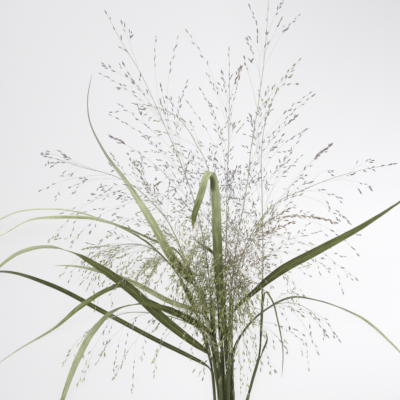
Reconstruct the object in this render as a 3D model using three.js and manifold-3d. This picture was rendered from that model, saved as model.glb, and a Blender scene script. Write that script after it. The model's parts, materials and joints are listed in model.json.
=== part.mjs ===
// A cut bunch of switchgrass (Panicum virgatum) lying on a surface. Millimetres, +Z up.
// Y runs from the cut ends to the flower heads, X across the bunch, Z up from the surface.
import * as THREE from "three";
import Module from "manifold-3d";

const wasm = await Module();
wasm.setup();
const { Manifold, Mesh: SolidMesh } = wasm;

// Driving dimensions.
const CULM = { buttRadius: 1.75, neckRadius: 1.0, sides: 6, step: 40 };
const KNOT = { swell: 1.3, half: 2.2, belowSheath: 3.4, lowest: -115, apart: 9 }; // the culm's swollen joints
const BLADE = { thickness: 0.7, curl: 24, step: 25, across: 3 };
const SHEATH = { length: 36, gap: 0.35, curl: 180, lip: 4, lipCurl: 120, lipLift: 0.9 };
const RACHIS = { baseRadius: 0.9, tipRadius: 0.5, sides: 4, step: 34, seam: 0.5 };
// Branches sit between the lowest and highest fractions of the head's axis, crowded towards its base. Towards
// its tip they get shorter and close up against it.
const BRANCH = {
  radius: 0.5, rootRadius: 0.2, sides: 3, knees: [0.22, 0.5], lowest: 0.05, highest: 0.8, crowding: 1.25,
  angle: 27, angleSpread: 26, closing: 0.55, flatten: 0.62, turn: 2.4, turnSpread: 2.2, retryTurn: 0.7,
  shortest: 30, shorterAtTip: 0.62, least: 0.75, lengthSpread: 0.4, shrunk: 0.65,
};
const TWIG = {
  count: 2, first: 0.36, spacing: 0.3, angle: 36, turnSpread: 2, shortest: 17, share: 0.3, lengthSpread: 0.5,
};
const SPIKELET = {
  length: 4.6, pitch: 6.4, radius: 1, neck: 0.4, widest: 0.45, sway: 0.9, onBranch: 2, onTwig: 2, onTip: 3,
};
const SAG = { down: 0.5, back: 0.75 }; // shares of a branch's droop
const CLEARANCE = 0.55; // between the branches and what belongs to another node
const NEARBY = 3; // the margin within which clearances are measured
const TRIES = 14; // for each branch, the later half of them with a shorter one
const SEED = { panicle: 10007, branch: 101, attempt: 7919 };
const FLOOR_EASE = 12; // height below which drooping branches are eased down to lie on the surface
const FINE_STEP = 4; // for places that are looked up along a stem

// Each culm: its stem and head (flower-head axis) as places [x, y, z], then its leaves. A leaf's collar
// is the place along Y where the blade leaves the culm, turn is the side that the sheath's back faces, in
// degrees, and the blade's rows are [x, y, z, width, roll], with a roll of 0 where its face is up.
const CULMS = [
  {
    stem: [[-10.3, -215, 1.52], [-10.5, -150, 2], [-12, -40, 4.2], [-12.8, 2, 4.6], [-16.4, 37, 5.4],
      [-20.7, 59, 8.5], [-27.4, 84, 14], [-36.9, 110, 22], [-47.6, 135, 31], [-58.9, 156, 39],
      [-68.9, 170, 42]],
    head: [[-81, 182, 44.5], [-98, 192, 45], [-117, 195, 43.5], [-137, 192, 39], [-157, 184, 32],
      [-176, 173, 24]],
    branches: 7, reach: 92, droop: 0.8,
    leaves: [
      { collar: 30, turn: 90, blade: [[-28, 42, 5.5, 5, 45], [-43, 50, 3.5, 5.4, 15], [-82, 69, 0.35, 6, 0],
        [-150, 105, 0.35, 6.2, 0], [-225, 143, 0.35, 5.6, 0], [-274, 158, 0.35, 3.2, 0],
        [-317, 158, 0.35, 1, 0]] },
      { collar: 80, turn: 120, blade: [[-37, 92, 20, 5, 60], [-69, 109, 28.5, 7, 14],
        [-111, 130, 32.5, 7, 0], [-132, 143, 32.5, 6.4, -20], [-146, 138, 30, 5.8, -22],
        [-183, 115, 18, 6.5, -6], [-215, 88, 4.6, 3.4, 0], [-263, 59, 0.4, 1.3, 0],
        [-294, 38, 0.35, 1, 0]] },
      { collar: 140, turn: 150, blade: [[-56.5, 152, 43.5, 6, 110], [-68, 168, 50, 5.5, 85],
        [-97, 196, 54, 7, 74], [-146, 222, 57, 7, 76], [-199, 237, 48, 5.8, 78], [-232, 238, 37, 5, 74],
        [-264, 234, 21.5, 3.8, 62], [-285, 225, 11, 2.8, 45], [-325, 198, 0.6, 1, 0]] },
    ],
  },
  {
    stem: [[-4.1, -215, 5.2], [-4.2, -150, 5.6], [-6.9, -40, 10.8], [-7.6, 2, 12], [-14.2, 52, 18],
      [-18.6, 79, 23], [-24.3, 109, 29.5], [-35.6, 143, 41.5], [-48.1, 171, 47], [-53.8, 185, 49.5]],
    head: [[-60, 201, 53], [-72, 224, 57], [-90, 246, 60], [-112, 266, 60], [-141, 281, 57],
      [-175, 290, 51], [-204, 299, 44], [-227, 306, 38]],
    branches: 8, reach: 100, droop: 0.35,
    leaves: [
      { collar: 46, turn: 100, blade: [[-25, 59, 22, 7, 45], [-37, 68, 28, 9.5, 25], [-74, 98, 41, 12, 5],
        [-121, 141, 54.5, 12, 2], [-160, 168, 59, 9, 28], [-190, 184, 56, 7, 77], [-219, 191, 48, 6, 130],
        [-255, 185, 32.5, 5.4, 157], [-292, 160, 10, 2.8, 172], [-306, 147, 3, 1, 180]] },
      { collar: 100, turn: 110, blade: [[-38, 111, 35.5, 5.5, 40], [-66, 121, 37, 6.6, 5],
        [-112, 145, 41.6, 6.4, 0], [-158, 161, 40, 4.8, 0], [-192, 167, 32, 2, 10],
        [-216, 167, 25, 1, 0]] },
      { collar: 138, sheath: 26, turn: 120, blade: [[-45, 150, 47.5, 8, 40], [-65, 176, 59, 11, 15],
        [-91, 223, 69.5, 9.5, 3], [-122, 272, 76, 5.5, 0], [-151, 312, 76, 2.7, 8], [-169, 352, 69, 1.5, 10],
        [-171, 372, 65, 1.2, 0], [-166, 408, 57, 0.9, 0]] },
      { collar: 172, sheath: 18, turn: 100, blade: [[-60, 185, 51, 5, 70], [-81, 195, 49, 5.6, 65],
        [-124, 214, 46, 6, 68], [-164, 226, 42.5, 5.7, 50], [-210, 228, 33, 4.5, 26],
        [-244, 225, 22, 3.8, 60], [-286, 204, 6.2, 2.3, 58], [-322, 190, 0.6, 1, 0]] },
    ],
  },
  {
    stem: [[-2, -215, 8.8], [-2.1, -150, 9.4], [-3.8, -40, 17.6], [-4.3, 3, 19], [-9.4, 52, 25],
      [-13, 77, 29.5], [-14.9, 97, 33.5], [-17.1, 125, 41]],
    head: [[-22.5, 173, 55.5], [-26.9, 200, 62], [-39, 251, 73], [-52, 288, 81], [-68, 326, 88],
      [-85, 365, 94], [-105, 407, 99], [-127, 443, 103], [-145, 477, 105]],
    branches: 10, reach: 128, droop: 0.12,
    leaves: [
      { collar: 72, turn: 110, blade: [[-22, 85, 36, 7, 50], [-45, 100, 47, 9.5, 20],
        [-76, 115, 57.3, 8.4, 38], [-108, 120, 59, 7, 80], [-137, 112, 54.2, 7, 122],
        [-163, 88, 42.5, 8.6, 155], [-187, 46, 22.5, 8.2, 168], [-209, -12, 4.6, 5, 178],
        [-223, -54, 0.5, 1, 180]] },
    ],
  },
  {
    stem: [[-2, -215, 1.52], [-2.1, -150, 2], [-2.2, -40, 4.2], [-1.7, 2, 4.8], [-3.9, 60, 11],
      [-5.9, 98, 18], [-7.8, 130, 26], [-10.6, 178, 43], [-11.2, 197, 49]],
    head: [[-13, 223, 55], [-16, 250, 60], [-19, 280, 64], [-25, 300, 66], [-34, 316, 67.5],
      [-46, 337, 68.5], [-61, 354, 67.5], [-87, 366, 64.5], [-112, 370, 61]],
    branches: 8, reach: 105, droop: 0.3,
    leaves: [
      { collar: 172, turn: 90, blade: [[-18, 186, 47, 5, 45], [-25, 191, 50, 4, 20], [-37, 200, 52, 2, 0],
        [-42, 206, 51, 1, 0]] },
    ],
  },
  {
    stem: [[0, -215, 5.2], [0, -150, 5.6], [1.4, -40, 10.8], [2.4, 2, 12], [2, 54, 19.5], [1.3, 76, 24],
      [0.5, 105, 31]],
    head: [[0.2, 131, 37.5], [0.4, 162, 45], [1.2, 194, 51], [1.9, 231, 57.5], [2.8, 275, 63],
      [4.3, 324, 69], [5, 374, 74], [4.6, 434, 79]],
    branches: 9, reach: 122, droop: 0.15,
    leaves: [
      { collar: 76, turn: 180, blade: [[-1, 91, 35, 8, 180], [-6, 132, 58.5, 11.2, 180],
        [-10, 201, 92, 12, 180], [-13, 259, 114, 11.2, 180], [-16, 279, 124, 10, 150],
        [-18.5, 284, 129.5, 9.6, 90], [-21.5, 281, 133, 9.2, 30], [-30, 257, 126.5, 7.9, 0],
        [-39, 226, 109, 4.5, 0], [-40, 210, 101, 1, 0]] },
    ],
  },
  {
    stem: [[2.1, -215, 8.8], [2.2, -150, 9.4], [4.2, -40, 17.6], [4.8, 3, 19.2], [5.8, 61, 27.5],
      [6, 99, 36], [6.8, 125, 41]],
    head: [[12.5, 178, 52], [16, 204, 57], [23, 244, 64], [28, 275, 69], [31, 306, 73.5], [41, 371, 83],
      [46, 408, 88], [51, 465, 95], [53, 505, 99]],
    branches: 10, reach: 124, droop: 0.12,
    leaves: [
      { collar: 99, turn: -110, blade: [[14, 113, 43, 6, -60], [35, 134, 58, 7.5, -38],
        [68, 162, 75.5, 11.2, -10], [114, 188, 87.5, 10.2, 0], [166, 216, 86.5, 6.7, -12],
        [202, 238, 76.5, 4.4, -42], [248, 269, 56, 1, -50]] },
    ],
  },
  {
    stem: [[6.3, -215, 1.52], [6.6, -150, 2], [14.5, -60, 3.6], [28.8, -5, 5.2], [35.5, 21, 6.3],
      [43.5, 50, 8.2], [46.6, 91, 12], [47.8, 135, 18], [47.9, 154, 22.5]],
    head: [[48.2, 177, 27.5], [47.5, 212, 34], [46.5, 262, 41.5], [45.5, 306, 47.5], [48, 335, 51],
      [54, 360, 54], [63.5, 385, 56]],
    branches: 8, reach: 105, droop: 0.25,
    leaves: [
      { collar: 46, turn: -110, blade: [[49, 59, 13, 4, -60], [54, 74, 16, 2.6, -30],
        [51, 88, 17, 0.9, -20]] },
      { collar: 118, turn: -130, blade: [[52, 134, 25, 3.4, -80], [59, 124, 32.3, 3.1, -48],
        [67, 96, 30.5, 2.4, -40], [74, 56, 14.5, 1.5, -35], [73, 23, 0.5, 0.9, 0]] },
    ],
  },
  {
    stem: [[2.1, -215, 1.52], [2.2, -150, 2], [5.8, -40, 4.2], [8, 2, 4.8], [9.2, 60, 12], [9.5, 92, 18.5],
      [10.4, 124, 27]],
    head: [[17.7, 167, 40], [25, 189, 45.5], [36, 212, 50.5], [51, 235, 54], [71, 251, 56], [96, 262, 56],
      [125, 274, 53.5], [169, 287, 47], [211, 295, 39]],
    branches: 9, reach: 105, droop: 0.4,
    leaves: [],
  },
  {
    stem: [[4.2, -215, 5.2], [4.4, -150, 5.6], [9.2, -40, 10.8], [11.1, 2, 12], [10.1, 55, 19],
      [14.3, 69, 21.5], [19.9, 79, 23]],
    head: [[28, 91, 25], [39, 102, 26.5], [53, 113, 26.5], [68, 119, 25], [84, 120, 22], [98, 116, 18],
      [110, 108, 14], [119, 98, 10]],
    branches: 6, reach: 88, droop: 0.8,
    leaves: [
      { collar: 52, turn: -125, blade: [[16, 68, 27.5, 5, -80], [28, 90, 37, 5, -60],
        [57, 116, 43.2, 5.6, -58], [80, 127, 43, 5.4, -50], [122, 122, 34, 4.5, -66],
        [152, 111, 24.5, 4.4, -62], [174, 100, 16.5, 4.6, -50], [213, 67, 3.8, 3.2, -45],
        [239, 40, 0.6, 1, 0]] },
    ],
  },
  {
    stem: [[-6.1, -215, 1.52], [-6.2, -150, 2], [-6.6, -40, 2], [-7.5, 2, 1.9], [-10.5, 40, 2],
      [-15, 62, 2.5], [-24, 78, 3], [-38, 90, 4]],
    head: [[-60, 99, 8], [-90, 106, 12], [-122, 107, 12], [-150, 98, 10], [-172, 84, 7], [-186, 66, 4]],
    branches: 7, reach: 84, droop: 1.1,
    leaves: [],
  },
];

const COLOURS = {
  culm: [0x6f7440, 0x7a7344, 0x666b3c],
  leaf: [0x5d6b36, 0x8f9a58, 0x6b7a40],
  panicle: [0x7d6d5f, 0x86785c, 0x74645c],
};

const UP = new THREE.Vector3(0, 0, 1);
const radians = THREE.MathUtils.degToRad;

// A repeatable stream of numbers from 0 to 1.
function randomStream(seed) {
  let state = seed >>> 0;
  return () => {
    state = (state + 0x6d2b79f5) >>> 0;
    let mixed = Math.imul(state ^ (state >>> 15), state | 1);
    mixed ^= mixed + Math.imul(mixed ^ (mixed >>> 7), mixed | 61);
    return ((mixed ^ (mixed >>> 14)) >>> 0) / 4294967296;
  };
}

// A smooth line through rows whose first three columns are a place, with other columns blended straight.
function smoothRows(rows, step) {
  const gaps = rows.slice(1).map(([x, y, z], i) => {
    const [x0, y0, z0] = rows[i];
    return Math.hypot(x - x0, y - y0, z - z0);
  });
  const slope = (i, k) => {
    const before = i > 0 ? (rows[i][k] - rows[i - 1][k]) / gaps[i - 1] : null;
    const after = i < gaps.length ? (rows[i + 1][k] - rows[i][k]) / gaps[i] : null;
    if (before === null) return after;
    if (after === null) return before;
    return (before * gaps[i] + after * gaps[i - 1]) / (gaps[i] + gaps[i - 1]);
  };
  const out = [rows[0].slice()];
  gaps.forEach((gap, i) => {
    const pieces = Math.max(1, Math.round(gap / step));
    for (let j = 1; j <= pieces; j++) {
      const t = j / pieces;
      const t2 = t * t;
      const t3 = t2 * t;
      out.push(rows[i].map((value, k) => {
        const next = rows[i + 1][k];
        if (k > 2) return value + (next - value) * t;
        return value * (2 * t3 - 3 * t2 + 1) + slope(i, k) * gap * (t3 - 2 * t2 + t)
          + next * (3 * t2 - 2 * t3) + slope(i + 1, k) * gap * (t3 - t2);
      }));
    }
  });
  return out;
}

const placesOf = (rows) => rows.map((row) => new THREE.Vector3(row[0], row[1], row[2]));

// The direction of travel at each place of a line.
function tangentsOf(places) {
  return places.map((_, i) => {
    const before = places[Math.max(0, i - 1)];
    const after = places[Math.min(places.length - 1, i + 1)];
    return after.clone().sub(before).normalize();
  });
}

// The face direction and the side direction across a line, turned by roll degrees from face up.
function rolledFrame(tangent, roll) {
  const level = UP.clone().addScaledVector(tangent, -tangent.dot(UP)).normalize();
  const across = tangent.clone().cross(level);
  const angle = radians(roll);
  const face = level.clone().multiplyScalar(Math.cos(angle)).addScaledVector(across, Math.sin(angle));
  return { face, side: tangent.clone().cross(face) };
}

// One closed solid from its corners and faces, turned right side out.
function solidFrom(corners, faces) {
  const vertProperties = new Float32Array(corners.flatMap((p) => [p.x, p.y, p.z]));
  const solidOf = (indices) => {
    const triVerts = new Uint32Array(indices);
    return new Manifold(new SolidMesh({ numProp: 3, vertProperties, triVerts }));
  };
  const solid = solidOf(faces.flat());
  if (solid.volume() > 0) return solid;
  return solidOf(faces.flatMap(([a, b, c]) => [a, c, b]));
}

// A tube with flat sides round a line, with a radius at each place. A last radius of 0 gives a pointed end.
function tube(places, radii, sides) {
  const tangents = tangentsOf(places);
  let face = Math.abs(tangents[0].z) < 0.9 ? UP.clone() : new THREE.Vector3(1, 0, 0);
  const corners = [];
  const faces = [];
  const pointed = radii[radii.length - 1] === 0;
  const rings = pointed ? places.slice(0, -1) : places;
  rings.forEach((place, i) => {
    face = face.clone().addScaledVector(tangents[i], -face.dot(tangents[i])).normalize();
    const side = tangents[i].clone().cross(face);
    for (let s = 0; s < sides; s++) {
      const angle = (2 * Math.PI * (s + 0.5)) / sides;
      corners.push(place.clone().addScaledVector(face, -radii[i] * Math.cos(angle))
        .addScaledVector(side, radii[i] * Math.sin(angle)));
    }
    if (i === 0) return;
    for (let s = 0; s < sides; s++) {
      const a = (i - 1) * sides + s;
      const b = (i - 1) * sides + ((s + 1) % sides);
      faces.push([a, b, b + sides], [a, b + sides, a + sides]);
    }
  });
  const last = corners.length - sides;
  for (let s = 1; s < sides - 1; s++) faces.push([0, s + 1, s]);
  if (pointed) {
    corners.push(places[places.length - 1]);
    for (let s = 0; s < sides; s++) faces.push([last + s, last + ((s + 1) % sides), last + sides]);
  } else {
    for (let s = 1; s < sides - 1; s++) faces.push([last, last + s, last + s + 1]);
  }
  return solidFrom(corners, faces);
}

// The point and the direction of a line where its Y coordinate passes a value.
function atY(places, y) {
  const i = Math.max(1, places.findIndex((place) => place.y > y));
  const t = (y - places[i - 1].y) / (places[i].y - places[i - 1].y);
  const tangent = places[i].clone().sub(places[i - 1]).normalize();
  return { point: places[i - 1].clone().lerp(places[i], t), tangent };
}

// The culm's radius at a place along Y: it tapers from the cut end to the neck under the flower head.
function culmRadius(stem, y) {
  const from = stem[0][1];
  const to = stem[stem.length - 1][1];
  return THREE.MathUtils.lerp(CULM.buttRadius, CULM.neckRadius, (y - from) / (to - from));
}

// The values of Y where a leaf's sheath has its sections: foot, middle and collar.
function sheathStops(leaf) {
  const length = leaf.sheath ?? SHEATH.length;
  return [leaf.collar - length, leaf.collar - length / 2, leaf.collar];
}

// The culm: a tapered tube with a swollen joint low down and one at the foot of each sheath.
function culmSolid(culm) {
  const fine = placesOf(smoothRows(culm.stem, FINE_STEP));
  const sheaths = culm.leaves.map(sheathStops);
  const knots = [KNOT.lowest, ...sheaths.map(([foot]) => foot - KNOT.belowSheath)];
  const isBusy = (y) => sheaths.some(([foot, , collar]) => y > foot - KNOT.apart && y < collar + KNOT.apart)
    || Math.abs(y - KNOT.lowest) < KNOT.apart;
  const rings = smoothRows(culm.stem, CULM.step)
    .filter((row, i, all) => i === 0 || i === all.length - 1 || !isBusy(row[1]))
    .map((row) => ({ y: row[1], place: placesOf([row])[0], swell: 1 }));
  for (const y of knots) {
    rings.push({ y: y - KNOT.half, swell: 1 }, { y, swell: KNOT.swell }, { y: y + KNOT.half, swell: 1 });
  }
  for (const y of sheaths.flat()) rings.push({ y, swell: 1 });
  rings.sort((a, b) => a.y - b.y);
  const places = rings.map((ring) => ring.place ?? atY(fine, ring.y).point);
  const radii = rings.map((ring) => ring.swell * culmRadius(culm.stem, ring.y));
  return tube(places, radii, CULM.sides);
}

// A leaf's rows [x, y, z, width, roll, curl]: the sheath's back along the culm, the lip, then the blade.
function leafRows(culm, leaf) {
  const fine = placesOf(smoothRows(culm.stem, FINE_STEP));
  const rows = [];
  const clasp = (y, lift, curl) => {
    const { point, tangent } = atY(fine, y);
    const { face } = rolledFrame(tangent, leaf.turn);
    const facets = Math.cos(radians(SHEATH.curl / BLADE.across / 2));
    const radius = (culmRadius(culm.stem, y) + SHEATH.gap) / facets + BLADE.thickness / 2;
    const back = point.addScaledVector(face, -(radius + lift));
    rows.push([back.x, back.y, back.z, radius * radians(SHEATH.curl), leaf.turn, curl]);
  };
  for (const y of sheathStops(leaf)) clasp(y, 0, SHEATH.curl);
  clasp(leaf.collar + SHEATH.lip, SHEATH.lipLift, SHEATH.lipCurl);
  for (const row of leaf.blade) rows.push([...row, BLADE.curl * (row[2] > 1 ? 1 : 0)]);
  return smoothRows(rows, BLADE.step);
}

// The middle surface of a leaf: the points across it at each row, with the direction of its thickness.
function leafSections(rows) {
  const places = placesOf(rows);
  const tangents = tangentsOf(places);
  return rows.map(([, , , width, roll, curl], i) => {
    const { face, side } = rolledFrame(tangents[i], roll);
    const bend = Math.max(radians(curl), 1e-4);
    const reachDown = 0.5 * width * (Math.abs(side.z) + bend / 4);
    const lowest = curl > BLADE.curl ? 0 : BLADE.thickness / 2 + (roll === 0 ? 0 : reachDown);
    places[i].z = Math.max(places[i].z, lowest);
    const points = [];
    for (let j = 0; j <= BLADE.across; j++) {
      const angle = (j / BLADE.across - 0.5) * bend;
      const normal = face.clone().multiplyScalar(Math.cos(angle)).addScaledVector(side, -Math.sin(angle));
      const point = places[i].clone().addScaledVector(side, (width * Math.sin(angle)) / bend)
        .addScaledVector(face, (width * (1 - Math.cos(angle))) / bend);
      points.push({ point, normal });
    }
    return points;
  });
}

// The leaf's solid: both faces of its sections, split into triangles alike.
function leafSolid(sections) {
  const corners = [];
  const faces = [];
  const half = BLADE.thickness / 2;
  const ring = 2 * (BLADE.across + 1);
  const back = (i, j) => i * ring + 2 * j;
  const front = (i, j) => i * ring + 2 * j + 1;
  sections.forEach((points, i) => {
    for (const { point, normal } of points) {
      corners.push(point.clone().addScaledVector(normal, -half), point.clone().addScaledVector(normal, half));
    }
    if (i === 0) return;
    for (let j = 0; j < BLADE.across; j++) {
      faces.push([back(i - 1, j), back(i, j + 1), back(i - 1, j + 1)]);
      faces.push([back(i - 1, j), back(i, j), back(i, j + 1)]);
      faces.push([front(i - 1, j), front(i - 1, j + 1), front(i, j + 1)]);
      faces.push([front(i - 1, j), front(i, j + 1), front(i, j)]);
    }
    for (const [j, flip] of [[0, false], [BLADE.across, true]]) {
      const quad = [back(i - 1, j), front(i - 1, j), front(i, j), back(i, j)];
      if (flip) quad.reverse();
      faces.push([quad[0], quad[1], quad[2]], [quad[0], quad[2], quad[3]]);
    }
  });
  for (const [i, flip] of [[0, false], [sections.length - 1, true]]) {
    for (let j = 0; j < BLADE.across; j++) {
      const quad = [back(i, j), back(i, j + 1), front(i, j + 1), front(i, j)];
      if (flip) quad.reverse();
      faces.push([quad[0], quad[1], quad[2]], [quad[0], quad[2], quad[3]]);
    }
  }
  return solidFrom(corners, faces);
}

// Straight pieces with a radius, which stand for a shape when branches keep clear of it.
function strands(places, radius, culmIndex = null) {
  return places.slice(1).map((place, i) => ({ a: places[i], b: place, radius, culmIndex }));
}

// The shortest distance between two straight pieces.
function distanceBetween(p, q) {
  const d1 = p.b.clone().sub(p.a);
  const d2 = q.b.clone().sub(q.a);
  const r = p.a.clone().sub(q.a);
  const a = d1.dot(d1);
  const e = d2.dot(d2);
  const f = d2.dot(r);
  const c = d1.dot(r);
  const b = d1.dot(d2);
  const denominator = a * e - b * b;
  const clamp = (v) => Math.min(1, Math.max(0, v));
  let s = denominator > 1e-9 ? clamp((b * f - c * e) / denominator) : 0;
  let t = (b * s + f) / e;
  if (t < 0 || t > 1) {
    t = clamp(t);
    s = clamp((b * t - c) / a);
  }
  return d1.multiplyScalar(s).add(p.a).distanceTo(d2.multiplyScalar(t).add(q.a));
}

function isClear(pieces, others) {
  const low = new THREE.Vector3(Infinity, Infinity, Infinity);
  const high = low.clone().negate();
  for (const { a, b } of pieces) {
    low.min(a).min(b);
    high.max(a).max(b);
  }
  const near = others.filter(({ a, b, radius }) => ["x", "y", "z"].every((k) =>
    Math.min(a[k], b[k]) - radius < high[k] + NEARBY && Math.max(a[k], b[k]) + radius > low[k] - NEARBY));
  return pieces.every((piece) => near.every((other) =>
    distanceBetween(piece, other) > piece.radius + other.radius + CLEARANCE));
}

// Low places are eased down to lie on the surface instead of passing through it.
function laid(place) {
  const height = place.z < FLOOR_EASE ? FLOOR_EASE * Math.exp((place.z - FLOOR_EASE) / FLOOR_EASE) : place.z;
  return new THREE.Vector3(place.x, place.y, Math.max(height, SPIKELET.radius));
}

// A unit direction at an angle from a line, on the side given by the turn round it.
function leaning(direction, angle, turn) {
  const seedAxis = Math.abs(direction.z) < 0.9 ? UP : new THREE.Vector3(1, 0, 0);
  const u = seedAxis.clone().cross(direction).normalize();
  const v = direction.clone().cross(u);
  const out = u.multiplyScalar(Math.cos(turn)).addScaledVector(v, Math.sin(turn));
  return direction.clone().multiplyScalar(Math.cos(angle)).addScaledVector(out, Math.sin(angle)).normalize();
}

// A branch or twig line: bare knees, then a run of spikelets as swellings that sway from side to side.
function beadedLine(origin, direction, length, droop, knees, spikelets, turn) {
  const sagging = (s) => {
    const place = origin.clone().addScaledVector(direction, s);
    const sag = (droop * s * s) / length;
    return laid(place.add(new THREE.Vector3(0, -SAG.back * sag, -SAG.down * sag)));
  };
  const places = [origin.clone()];
  const radii = [BRANCH.rootRadius];
  for (const knee of knees) {
    places.push(sagging(length * knee));
    radii.push(BRANCH.radius);
  }
  const swayAxis = leaning(direction, Math.PI / 2, turn);
  for (let k = 0; k < spikelets; k++) {
    const from = length - (spikelets - k) * SPIKELET.pitch;
    const sway = SPIKELET.sway * (k % 2 ? -1 : 1);
    const swelling = sagging(from + SPIKELET.length * SPIKELET.widest);
    places.push(sagging(from), laid(swelling.addScaledVector(swayAxis, sway)));
    radii.push(SPIKELET.neck, SPIKELET.radius);
  }
  places.push(sagging(length));
  radii.push(0);
  return { places, radii };
}

// The point a fraction of the way along a line, and the direction there.
function along(places, fraction) {
  const lengths = places.slice(1).map((place, i) => place.distanceTo(places[i]));
  let rest = fraction * lengths.reduce((sum, value) => sum + value, 0);
  let i = 0;
  while (i < lengths.length - 1 && rest > lengths[i]) rest -= lengths[i++];
  return {
    point: places[i].clone().lerp(places[i + 1], rest / lengths[i]),
    tangent: places[i + 1].clone().sub(places[i]).normalize(),
  };
}

// One branch with its twigs, as lines with radii, for one try of the random stream.
function branchLines(rachis, culm, fraction, turn, random, shrink) {
  const { reach, droop } = culm;
  const anyTurn = () => random() * 2 * Math.PI;
  const { point, tangent } = along(rachis, fraction);
  const angle = radians(BRANCH.angle + BRANCH.angleSpread * random()) * (1 - BRANCH.closing * fraction);
  const direction = leaning(tangent, angle, turn + (random() - 0.5) * BRANCH.turnSpread);
  direction.z *= BRANCH.flatten;
  direction.normalize();
  const drawn = (BRANCH.least + BRANCH.lengthSpread * random()) * (1 - BRANCH.shorterAtTip * fraction);
  const length = Math.max(BRANCH.shortest, shrink * reach * drawn);
  const main = beadedLine(point, direction, length, droop, BRANCH.knees, SPIKELET.onBranch, anyTurn());
  const bare = main.places.slice(0, BRANCH.knees.length + 2);
  const lines = [main];
  for (let k = 0; k < TWIG.count; k++) {
    const start = along(bare, TWIG.first + TWIG.spacing * k);
    const twigTurn = k * Math.PI + (random() - 0.5) * TWIG.turnSpread;
    const twigWay = leaning(start.tangent, radians(TWIG.angle), twigTurn);
    const share = TWIG.share * (1 + TWIG.lengthSpread * (random() - 0.5));
    const twigLength = Math.max(TWIG.shortest, length * share);
    lines.push(beadedLine(start.point, twigWay, twigLength, droop, [], SPIKELET.onTwig, anyTurn()));
  }
  return lines;
}

// The flower head's axis, which starts a seam's width above the culm.
function rachisPlaces(culm) {
  const places = placesOf(smoothRows([culm.stem[culm.stem.length - 1], ...culm.head], RACHIS.step));
  places[0].addScaledVector(tangentsOf(places)[0], RACHIS.seam);
  return places;
}

// The axis with a radius at each place, ending in spikelets of its own.
function axisLine(rachis) {
  const last = rachis.length - 1;
  const radii = rachis.map((_, i) => THREE.MathUtils.lerp(RACHIS.baseRadius, RACHIS.tipRadius, i / last));
  const toTip = rachis[last].clone().sub(rachis[last - 1]);
  const length = toTip.length();
  const tip = beadedLine(rachis[last - 1], toTip.normalize(), length, 0, [], SPIKELET.onTip, 0);
  return {
    places: [...rachis.slice(0, last), ...tip.places.slice(1)],
    radii: [...radii.slice(0, last), ...tip.radii.slice(1)],
  };
}

// The panicle's lines: its axis, then each branch in the first of its tries that clears the other nodes.
function panicleLines(culm, number, others) {
  const rachis = rachisPlaces(culm);
  const lines = [axisLine(rachis)];
  for (let b = 0; b < culm.branches; b++) {
    const share = (b / (culm.branches - 1)) ** BRANCH.crowding;
    const fraction = THREE.MathUtils.lerp(BRANCH.lowest, BRANCH.highest, share);
    for (let attempt = 0; attempt < TRIES; attempt++) {
      const random = randomStream(number * SEED.panicle + b * SEED.branch + attempt * SEED.attempt);
      const turn = b * BRANCH.turn + attempt * BRANCH.retryTurn;
      const shrink = attempt < TRIES / 2 ? 1 : BRANCH.shrunk;
      const branch = branchLines(rachis, culm, fraction, turn, random, shrink);
      const pieces = branch.flatMap(({ places, radii: r }) => strands(places, Math.max(...r)));
      if (!isClear(pieces, others)) continue;
      lines.push(...branch);
      break;
    }
  }
  return lines;
}

function meshOf(solid, name, colour, roughness) {
  const { numProp, vertProperties, triVerts } = solid.getMesh();
  const positions = new Float32Array((vertProperties.length / numProp) * 3);
  for (let i = 0; i < positions.length / 3; i++) {
    positions.set(vertProperties.subarray(i * numProp, i * numProp + 3), i * 3);
  }
  const geometry = new THREE.BufferGeometry();
  geometry.setAttribute("position", new THREE.BufferAttribute(positions, 3));
  geometry.setIndex(new THREE.BufferAttribute(new Uint32Array(triVerts), 1));
  geometry.computeVertexNormals();
  const material = new THREE.MeshStandardMaterial({ color: colour, roughness, metalness: 0 });
  const mesh = new THREE.Mesh(geometry, material);
  mesh.name = name;
  return mesh;
}

const bunch = new THREE.Group();
const occupied = [];

CULMS.forEach((culm, i) => {
  const name = `culm_${i + 1}`;
  bunch.add(meshOf(culmSolid(culm), name, COLOURS.culm[i % 3], 0.55));
  occupied.push(...strands(placesOf(smoothRows(culm.stem, CULM.step)), CULM.buttRadius, i));
  occupied.push(...strands(rachisPlaces(culm), RACHIS.baseRadius, i));
  culm.leaves.forEach((leaf, j) => {
    const leafName = `leaf_${i + 1}${"abcd"[j]}`;
    const sections = leafSections(leafRows(culm, leaf));
    bunch.add(meshOf(leafSolid(sections), leafName, COLOURS.leaf[(i + j) % 3], 0.5));
    const widest = Math.max(...leaf.blade.map((row) => row[3]));
    for (let k = 0; k <= BLADE.across; k++) {
      const line = sections.map((points) => points[k].point);
      occupied.push(...strands(line, BLADE.thickness / 2 + widest / BLADE.across / 2));
    }
  });
});

CULMS.forEach((culm, i) => {
  const name = `panicle_${i + 1}`;
  const lines = panicleLines(culm, i + 1, occupied.filter((strand) => strand.culmIndex !== i));
  const solids = lines.map(({ places, radii }, k) => {
    const sides = k === 0 ? RACHIS.sides : BRANCH.sides;
    return tube(places, radii, sides);
  });
  bunch.add(meshOf(Manifold.union(solids), name, COLOURS.panicle[i % 3], 0.75));
  occupied.push(...lines.flatMap(({ places, radii }) => strands(places, Math.max(...radii))));
});

// The origin is under the middle of the bunch, on the surface that it lies on.
const box = new THREE.Box3().setFromObject(bunch);
const middle = box.getCenter(new THREE.Vector3());
bunch.position.set(-middle.x, -middle.y, -box.min.z);

const switchgrass = new THREE.Group();
switchgrass.add(bunch);
export default switchgrass;
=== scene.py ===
import json
import math

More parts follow.
